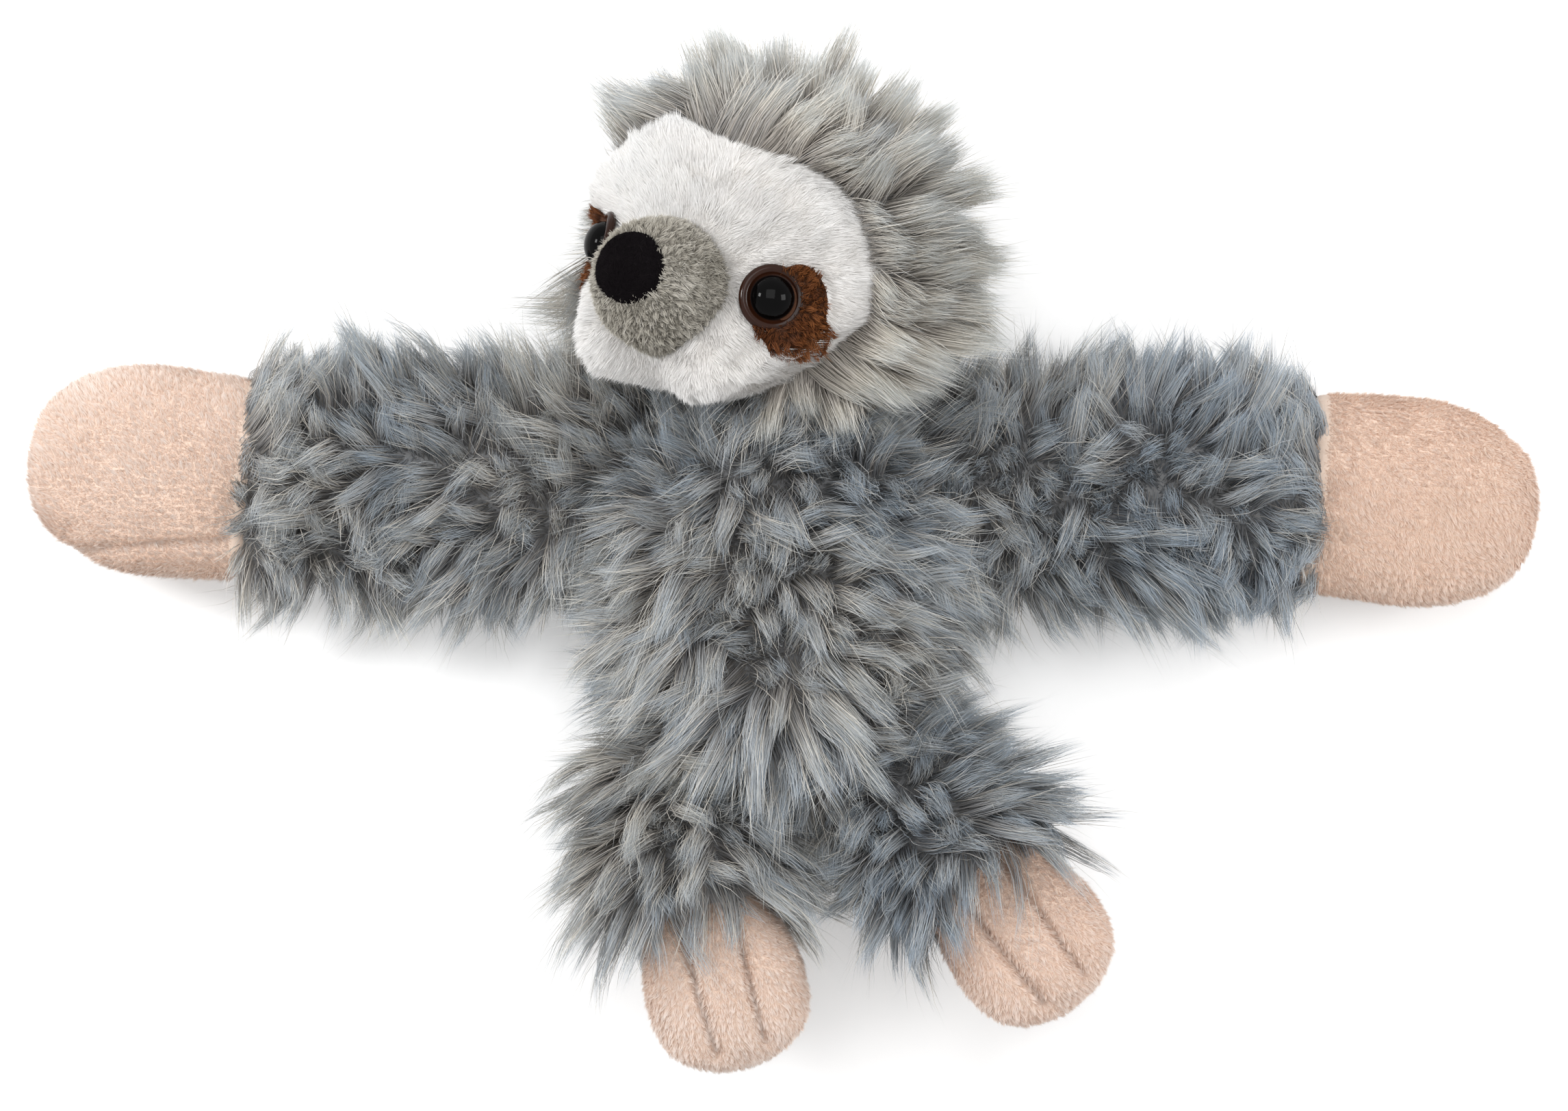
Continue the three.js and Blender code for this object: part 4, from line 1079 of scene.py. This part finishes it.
def stuff(piece, held, most):
    """Remesh a closed cover and fill it. held picks the points that stay, most is in mm."""
    piece.data.transform(Matrix.Scale(SIM_SCALE, 4))
    remesh = piece.modifiers.new("remesh", "REMESH")
    remesh.mode = "VOXEL"
    remesh.voxel_size = VOXEL * MM * SIM_SCALE
    even = piece.modifiers.new("even", "SMOOTH")
    even.factor, even.iterations = EVEN_SHARE, EVEN_ROUNDS
    bake_modifiers(piece)
    before, _ = points_of(piece)
    group = piece.vertex_groups.new(name="held")
    chosen = np.flatnonzero(held(before / SIM_SCALE))
    group.add(chosen.tolist(), 1.0, "REPLACE")
    cloth = piece.modifiers.new("fill", "CLOTH")
    cloth.settings.quality = CLOTH_QUALITY
    cloth.settings.tension_stiffness = CLOTH_STIFFNESS
    cloth.settings.compression_stiffness = CLOTH_STIFFNESS
    cloth.settings.use_pressure = True
    cloth.settings.uniform_pressure_force = FILL_PRESSURE
    cloth.settings.effector_weights.gravity = 0
    cloth.settings.vertex_group_mass = "held"
    cloth.collision_settings.use_collision = False
    for step in range(1, FILL_FRAMES + 1):
        scene.frame_set(step)
    bake_modifiers(piece)
    piece.vertex_groups.clear()
    scene.frame_set(1)
    after, _ = points_of(piece)
    moved = after - before
    length = np.maximum(np.linalg.norm(moved, axis=1, keepdims=True), 1e-9)
    limit = most * SIM_SCALE
    moved *= np.tanh(length / limit) * limit / length
    move_points(piece, before + moved)
    print(f"  {piece.name}: filled by up to {length.max() / SIM_SCALE:.2f} mm before the cap")
    finer = piece.modifiers.new("finer", "SUBSURF")
    finer.levels = finer.render_levels = 1
    bake_modifiers(piece)
    piece.data.transform(Matrix.Scale(1 / SIM_SCALE, 4))
    piece.data.shade_smooth()
    return piece


print("covers are filled at", SIM_SCALE, "times their size")

# %% [markdown]
# ## Hands
# Each hand is a mitten of peach velour. Its panels meet in a seam round the side, which pulls the
# cloth in. Velour has a very short nap that shows the way it was last stroked.

# %% Hands
ARM_Y, ARM_Z = 22.5, 17.6
WRIST_X = 103
HAND_SHARES = [[0, 0.94], [0.3, 0.99], [0.52, 1], [0.72, 0.89], [0.86, 0.7], [0.95, 0.45], [1, 0]]
HAND_HALF_WIDTH, HAND_HALF_DEPTH, HAND_SQUARENESS = 20.6, 12, 2.5
HAND_REACH = {"left": 43.2, "right": 41.8}
HAND_ROOT, HAND_SWING, HAND_HELD, HAND_MOST = 3, math.radians(-5), 2.5, 1.1
HAND_DRAW_IN, HAND_SHIFT = -0.5, 0.3
# The right hand's higher tint is painted sheen: its nap is drawn paler, as velour looks when it is
# seen against its nap.
HAND_TINT_AND_SHEEN = {"left": 0.35, "right": 0.85}
SEAM_WIDTH, SEAM_DEPTH = 1.3, 0.75
SEAM_ON_TOP = {"left": False, "right": True}
SEAM_SIDE, SEAM_SLANT, NO_SEAM = 12, 0.17, 9
ARM_SIDES = {"left": np.diag([1.0, 1.0, 1.0, 1.0]), "right": np.diag([-1.0, -1.0, 1.0, 1.0])}
for side_place in ARM_SIDES.values():
    side_place[:3, 3] = (0, ARM_Y, ARM_Z)
VELOUR_NAP = pile_like(CURLY_PLUSH, Density=20.5, Width=0.13, Lock_Spacing=0.9, Clump=0.6)
VELOUR_NAP = pile_like(VELOUR_NAP, Frizz=0.12, Swirl=1.5, Swirl_Size=10.0, Mess=0.3, Curl=0.0)
VELOUR_NAP = pile_like(VELOUR_NAP, Roll=0.3, Tint_Spread=0.2)
NAP_RISE = NAP_LAY = 0.9


def along_arm(rings, start):
    """Rings on +Z laid along the arm: their width lies along the toy, their depth upwards."""
    return np.stack([rings[..., 2] + start, rings[..., 0], rings[..., 1]], -1)


hands = {}
for side, arm in ARM_SIDES.items():
    swing = Matrix.Translation((WRIST_X, 0, 0)) @ Matrix.Rotation(HAND_SWING, 4, "Z")
    hand_place = arm @ np.array(swing)
    inverse = np.linalg.inv(hand_place)
    length = HAND_REACH[side] + HAND_ROOT
    form = (length, HAND_HALF_WIDTH, HAND_HALF_DEPTH, HAND_SQUARENESS, HAND_SHARES)
    ends = (HAND_SHIFT, length + HAND_SHIFT)
    rings = along_arm(swell(form, HAND_DRAW_IN, 40, 64, ends=ends), -HAND_ROOT)
    hand = piece_of_rings(f"hand_{side}", laid(capped(rings, last=False), hand_place))
    stuff(hand, lambda p: laid(p, inverse)[:, 0] < HAND_HELD, HAND_MOST)
    place, out = points_of(hand)
    x, y, z = laid(place, inverse).T
    toward_seam = z
    if SEAM_ON_TOP[side]:
        on_top = np.where(z > 0, y - SEAM_SIDE - SEAM_SLANT * x, NO_SEAM)
        toward_seam = np.where(y > 0, on_top, z)
    seam = np.exp(-((toward_seam / SEAM_WIDTH) ** 2)) * smooth_step(x, -1, 1)
    edge_on = smooth_step(np.abs(y) + 0.8 * np.maximum(x - 19, 0), 7, 10)
    move_points(hand, place - out * (SEAM_DEPTH * seam * edge_on)[:, None])
    hand.data.materials.append(peach_cloth)
    comb = np.stack([0.6 + 0 * x, -0.8 + 0 * x, 0 * x], 1)
    comb_skin(hand, comb @ hand_place[:3, :3].T, NAP_RISE, NAP_LAY, smooth_step(x, 0, 0.6))
    # The right hand's paler nap colour is painted sheen.
    tint = HAND_TINT_AND_SHEEN[side]
    nap = grow(hand, nap_tree, f"hand_{side}_nap", VELOUR_NAP, peach_pile, 41, Tint=tint)
    hands[side] = (hand, nap)
print("hands:", [len(h[0].data.polygons) for h in hands.values()], "faces")

# %% [markdown]
# ## Sleeves
# A sleeve has to bend over four hinges in the slap band. So its fur is grown in four lengths, each
# of them over one hinge.

# %% Sleeves
SLEEVE = (71, 25, 17, 2.3, [[0, 0.95], [0.5, 1], [1, 0.98]])
SLEEVE_PILE, SLEEVE_ENDS = 6.8, (-14, 71.2)
SLEEVE_RISE, CUFF_LOWER, SLEEVE_LAY, CUFF_LAY = 9.6, 5.0, 4.0, 2.0
CUFF = (91, 102)
SLEEVE_TINT = {"left": 0.37, "right": 0.45}
SHOULDER_X = 32
HINGES = [SHOULDER_X + (WRIST_X - SHOULDER_X) * i / 3 for i in range(4)]
HALF_LINK = (HINGES[1] - HINGES[0]) / 2
ARM_CHAIN = ["torso", "arm_1", "arm_2", "arm_3", "hand"]

sleeves = {}
for side, arm in ARM_SIDES.items():
    rings = along_arm(swell(SLEEVE, -SLEEVE_PILE, 60, 56, ends=SLEEVE_ENDS), SHOULDER_X)
    rings = laid(rings, arm)
    for i, hinge in enumerate(HINGES):
        low = 0 if i == 0 else hinge - HALF_LINK
        high = 200 if i == 3 else hinge + HALF_LINK
        keep = lambda m, low=low, high=high: (np.abs(m[:, 0]) >= low) & (np.abs(m[:, 0]) < high)
        skin = piece_of_rings(f"sleeve_{i}_{side}_skin", rings, keep)
        place, out = points_of(skin)
        local = seen_from(place, arm)
        near_cuff = smooth_step(local[:, 0], *CUFF)
        down_sides = np.sin(local[:, 1] / 12)
        comb = np.stack([0.35 - 1.35 * near_cuff, down_sides, np.zeros(len(local))], 1)
        rise, lay = SLEEVE_RISE - CUFF_LOWER * near_cuff, SLEEVE_LAY + CUFF_LAY * near_cuff
        comb_skin(skin, comb @ arm[:3, :3].T, rise, lay, underside_thinner(out))
        name = f"sleeve_fur_{i + 1}_{side}"
        piece = grow_over(skin, name, LONG_FUR, fur, 50 + i, Density=8.2, Tint=SLEEVE_TINT[side])
        sleeves[i, side] = piece
print("sleeves in", len(sleeves), "lengths, with hinges at", [round(h, 1) for h in HINGES])

# %% [markdown]
# ## Legs
# Each leg is a short furry cone, widest at its end, where the hair hangs over the foot like a
# skirt. The two legs are splayed differently, as they lie in the photo.

# %% Leg places
HIP = (19, 31, 26)
LEG_LIFT = math.radians(15)
ANKLE_ALONG, FOOT_DIP = 29, math.radians(3)
SPLAYS = {"left": (1, 44, 38), "right": (-1, 12, 16)}


def limb_direction(splay, lift):
    """The way that a limb points: down the toy, splayed sideways and lifted by angles."""
    c = math.cos(lift)
    return np.array([math.sin(splay) * c, -math.cos(splay) * c, math.sin(lift)])


leg_places = {}
for side, (sign, leg_splay, foot_splay) in SPLAYS.items():
    direction = limb_direction(math.radians(leg_splay), LEG_LIFT)
    hip = np.array([sign * HIP[0], -HIP[1], HIP[2]], float)
    ankle = hip + direction * ANKLE_ALONG
    foot_way = limb_direction(math.radians(foot_splay), -FOOT_DIP)
    leg_places[side] = (place_at(hip, direction), place_at(ankle, foot_way), direction)
print("ankles:", {s: np.round(p[1][:3, 3], 1).tolist() for s, p in leg_places.items()})

# %% Legs
LEG_SHARES = [[0, 0], [0.05, 0.3], [0.16, 0.54], [0.36, 0.78], [0.6, 0.96], [0.8, 1], [0.95, 0.93]]
LEG = (48, 23, 23, 2.0, LEG_SHARES + [[1, 0.78], [1.02, 0.5]])
LEG_ROOT, LEG_ENDS = 12, (-2, 40)
LEG_TINT = {"left": 0.38, "right": 0.55}
INNER_SWEEP = {"left": 0.0, "right": 0.7}
LEG_RISE, END_LOWER, CROTCH_LOWER, OUTER_HIGHER = 11, 1.5, 4, 1.5
LEG_LAY, OUTER_LAY, SWEPT_LAY = 6, 3, 7
LEG_FUR = pile_like(LONG_FUR, Density=9.4, Swirl=22.0)

legs = {}
for side, (leg_place, _, _) in leg_places.items():
    rings = swell(LEG, -FUR_PILE, 48, 56, ends=LEG_ENDS) - [0, 0, LEG_ROOT]
    rings = capped(rings, first=False)
    skin = piece_of_rings(f"leg_{side}_skin", laid(rings, leg_place))
    place, out = points_of(skin)
    local = seen_from(place, leg_place)
    comb = np.stack([local[:, 0] * 0.04, local[:, 1] * 0.04, np.ones(len(local))], 1)
    end = smooth_step(local[:, 2], 24, 28)
    thick = underside_thinner(out) * smooth_step(local[:, 2], -8, -4)
    thick *= 1 - smooth_step(local[:, 2], 27.2, 28.5)
    sign = SPLAYS[side][0]
    outer, inner = (smooth_step(way * out[:, 0], 0.2, 0.9) for way in (sign, -sign))
    near_hip = 1 - smooth_step(local[:, 2], 6, 20)
    swept = inner * (1 - near_hip) * INNER_SWEEP[side]
    combed = comb @ leg_place[:3, :3].T + np.array([0, -0.8, 0]) * outer[:, None]
    combed += np.array([-sign, 0.1, 0]) * swept[:, None]
    rise = LEG_RISE - END_LOWER * end - CROTCH_LOWER * inner * near_hip
    rise = rise + OUTER_HIGHER * outer * (1 - near_hip)
    comb_skin(skin, combed, rise, LEG_LAY + OUTER_LAY * outer + SWEPT_LAY * swept, thick)
    legs[side] = grow_over(skin, f"leg_fur_{side}", LEG_FUR, fur, 61, Tint=LEG_TINT[side])
print("legs:", [leg.name for leg in legs.values()])

# %% [markdown]
# ## Feet
# A foot is a flat oval of peach velour. Two lines are stitched through its top, from under the fur
# nearly to the tip, and the stuffing swells between them, so that three toes show.

# %% Feet
FOOT_SHARES = [[0, 0.5], [0.12, 0.68], [0.3, 0.88], [0.55, 1], [0.78, 0.93], [0.91, 0.68]]
FOOT_SHARES += [[0.98, 0.34], [1, 0]]
FOOT = (37, 15.4, 9.6, 2.4, FOOT_SHARES)
FOOT_ROOT, FOOT_DRAW_IN, FOOT_END, FOOT_MOST = 6, -0.2, 36.3, 0.9
FOOT_TINT = {"left": 0.6, "right": 0.85}
TOE_SEAM_SIDE, TOE_SEAM_END = 5.3, 27
TOE_SEAM_WIDTH, TOE_SEAM_DEPTH, TOE_SWELL = 0.9, 1.9, 0.9
RIM_WIDTH, RIM_DEPTH = 0.7, 0.5

feet = {}
for side, (_, foot_place, _) in leg_places.items():
    rings = swell(FOOT, FOOT_DRAW_IN, 40, 56, ends=(0, FOOT_END)) - [0, 0, FOOT_ROOT]
    foot = piece_of_rings(f"foot_{side}", laid(capped(rings, last=False), foot_place))
    inverse = np.linalg.inv(foot_place)
    stuff(foot, lambda p: laid(p, inverse)[:, 2] < 0, FOOT_MOST)
    place, out = points_of(foot)
    local = laid(place, inverse)
    on_top = smooth_step(local[:, 1], 1.5, 4)
    reach = on_top * (1 - smooth_step(local[:, 2], TOE_SEAM_END - 2, TOE_SEAM_END))
    lean = 1 - 0.12 * smooth_step(local[:, 2], 5, 27)
    offset = (np.abs(local[:, 0]) - TOE_SEAM_SIDE * lean) / TOE_SEAM_WIDTH
    toe = np.clip(local[:, 0] / TOE_SEAM_SIDE, -3, 3)
    toes = np.abs(np.sin(toe * math.pi / 2 + math.pi / 2))
    move = TOE_SWELL * (toes - 0.4) - TOE_SEAM_DEPTH * np.exp(-(offset**2))
    rim = np.exp(-((local[:, 1] / RIM_WIDTH) ** 2)) * smooth_step(local[:, 2], 2, 8)
    move_points(foot, place + out * (move * reach - RIM_DEPTH * rim)[:, None])
    foot.data.materials.append(peach_cloth)
    comb = np.stack([local[:, 0] * 0.02, np.zeros(len(local)), np.ones(len(local))], 1)
    thick = smooth_step(local[:, 2], -4, -2)
    comb_skin(foot, comb @ foot_place[:3, :3].T, NAP_RISE, NAP_LAY, thick)
    tint = FOOT_TINT[side]
    nap = grow(foot, nap_tree, f"foot_{side}_nap", VELOUR_NAP, peach_pile, 42, Tint=tint)
    feet[side] = (foot, nap)
print("feet:", [len(f[0].data.polygons) for f in feet.values()], "faces")

# %% [markdown]
# ## Neck
# Between the torso and the head is a short neck, hidden under the fur on both sides. A furry ball
# there keeps the gap closed while the head turns.

# %% Neck
NECK_RADIUS, NECK_RISE, NECK_LAY = 10.6, 7.0, 4.0
turns = np.linspace(0, math.pi, 20)
profile = [[max(NECK_RADIUS * math.sin(t), 0), -NECK_RADIUS * math.cos(t)] for t in turns]
skin = piece_of_rings("neck_skin", turned_rings(profile, 32, 40) + NECK)
place, out = points_of(skin)
down = np.tile([0.0, -1.0, 0.0], (len(place), 1))
comb_skin(skin, down, NECK_RISE, NECK_LAY, underside_thinner(out))
neck = grow_over(skin, "neck_fur", LONG_FUR, fur, 71, Density=7.0)
print("neck ball:", 2 * NECK_RADIUS, "mm across")

# %% [markdown]
# ## What rides on what
# The pieces of the torso, neck, head, hands and feet follow bodies of the solids' model, and they
# hide the solids that they stand for. The slap band and the washers are hard and have the right
# shape, so they stay, with better finishes.

# %% Rides
def settle(piece, body, slot, *nodes):
    """Make a piece ride on a body and hide the solids that it stands for. The slot is not used."""
    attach(piece, body)
    if nodes:
        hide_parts(*nodes)


settle(chest, "torso", "fur", "torso_front", "torso_fibre")
settle(belly, "torso", "fur", "torso_front")
settle(back, "torso", "fur", "torso_back")
settle(neck, "neck", "fur", "neck_fibre")
settle(hood_left, "head", "fur", "hood_left", "head_stuffing")
settle(hood_right, "head", "fur", "hood_right")
settle(face, "head", "face_plush", "face_panel")
settle(face_pile, "head", "face_plush")
settle(muzzle, "head", "muzzle_plush", "muzzle_cover", "muzzle_stuffing")
settle(muzzle_nap, "head", "muzzle_plush")
settle(nose, "head", "nose_felt", "nose")
settle(nose_nap, "head", "nose_felt")
for side in ("left", "right"):
    base, lens = eyes[side]
    settle(base, "head", "eye_brown", f"eye_base_{side}")
    settle(lens, "head", "eye_black", f"eye_lens_{side}")
    patch, pile = patches[side]
    settle(patch, "head", "brown_plush", f"eye_patch_{side}")
    settle(pile, "head", "brown_plush")
    hand, nap = hands[side]
    hand_parts = [f"hand_{part}_{side}" for part in ("palm", "back", "fibre")]
    settle(hand, f"hand_{side}", "velour", *hand_parts)
    settle(nap, f"hand_{side}", "velour")
    foot, nap = feet[side]
    foot_parts = [f"foot_{part}_{side}" for part in ("top", "sole", "fibre")]
    settle(foot, f"foot_{side}", "velour", *foot_parts)
    settle(nap, f"foot_{side}", "velour")
fills = [(chest, 0.7), (belly, 0.7), (back, 0.6), (neck, 0.5), (face, 0.9), (muzzle, 0.9)]
for piece, fill in fills + [(hood_left, 0.9), (hood_right, 0.9)]:
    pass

# %% Over the joints
END_MARGIN = 0.2
ANKLE_BEND = (-12, 8)
for (i, side), piece in sleeves.items():
    sign = 1 if side == "left" else -1
    near, far = (n if n == "torso" else f"{n}_{side}" for n in ARM_CHAIN[i : i + 2])
    reach = HALF_LINK - END_MARGIN
    start = HINGES[i] - reach
    end = HINGES[i] + (END_MARGIN if i == 3 else reach)
    points = [(sign * x * MM, ARM_Y * MM, ARM_Z * MM) for x in (start, end)]
    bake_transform(piece)
    if i < 3:
        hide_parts(f"sleeve_{i + 1}_{side}", f"arm_fibre_{i + 1}_{side}")
for side, (leg_place, foot_place, direction) in leg_places.items():
    ankle = foot_place[:3, 3]
    points = [((ankle + direction * step) * MM).tolist() for step in ANKLE_BEND]
    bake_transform(legs[side])
    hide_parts(f"leg_cover_{side}", f"leg_fibre_{side}")
for name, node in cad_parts.items():
    finish = {"slap": band_steel, "eye_": washer_plastic}.get(name[:4])
    if finish and not node.hide_render:
        node.material_slots[0].material = finish
print("bending pieces:", len(sleeves) + len(legs))

# %% [markdown]
# ## Floor and light
# The toy lies on a white table in soft light from both sides and from above. The world gives an
# even light, and is plain white where the camera, a gloss or a clear material sees it.

# %% Floor and light
FLOOR_HALF, FLOOR_WHITE, FLOOR_GLOW = 1.5, 0.96, 0.28
WORLD_STRENGTH = 0.5
LAMPS = [
    ("right_softbox", (0.62, 0.1, 0.5), 0.26, 1.7),
    ("left_softbox", (-0.6, 0.22, 0.55), 0.18, 2.8),
    ("overhead_softbox", (0.02, 0.4, 1.25), 0.8, 5.2),
]


def white_for_camera(graph, plain, seen):
    """A mix of two shaders that the camera, glosses and clear materials see as the second."""
    path = graph.add("ShaderNodeLightPath")
    seen_by = path.out("Is Camera Ray") + path.out("Is Glossy Ray")
    seen_by = graph.add("ShaderNodeClamp", None, seen_by + path.out("Is Transmission Ray"))
    return graph.add("ShaderNodeMixShader", None, seen_by, plain, seen)


world = bpy.data.worlds.new("studio")
world.use_nodes = True
world.node_tree.nodes.clear()
graph = Graph(world.node_tree)
even = graph.add("ShaderNodeBackground", None, (1.0, 1.0, 1.0), WORLD_STRENGTH)
white = graph.add("ShaderNodeBackground", None, (1.0, 1.0, 1.0), 1.0)
graph.add("ShaderNodeOutputWorld", None, white_for_camera(graph, even, white))
scene.world = world

turns = ((-1, -1), (1, -1), (1, 1), (-1, 1))
corners = [(across * FLOOR_HALF, along * FLOOR_HALF, 0) for across, along in turns]
floor_mesh = bpy.data.meshes.new("floor")
floor_mesh.from_pydata(corners, [], [(0, 1, 2, 3)])
floor = add_piece("floor", floor_mesh)


def table_paint(graph):
    """A glow that only the camera sees, which keeps the table white round the toy's shadow."""
    seen = graph.add("ShaderNodeLightPath").out("Is Camera Ray")
    return {"Emission_Color": graph.add("ShaderNodeCombineXYZ", None, seen, seen, seen)}


table = {"Base_Color": (FLOOR_WHITE,) * 3, "Roughness": 0.7, "Emission_Strength": FLOOR_GLOW}
floor.data.materials.append(surface("white_table", table_paint, **table))
for name, place, size, power in LAMPS:
    lamp = bpy.data.lights.new(name, "AREA")
    lamp.shape, lamp.size, lamp.energy = "SQUARE", size, power
    holder = bpy.data.objects.new(name, lamp)
    holder.location = place
    holder.rotation_euler = holder.location.to_track_quat("Z", "Y").to_euler()
    scene.collection.objects.link(holder)
print("lamps:", [lamp[0] for lamp in LAMPS], "and", strand_total, "triangles of pile")
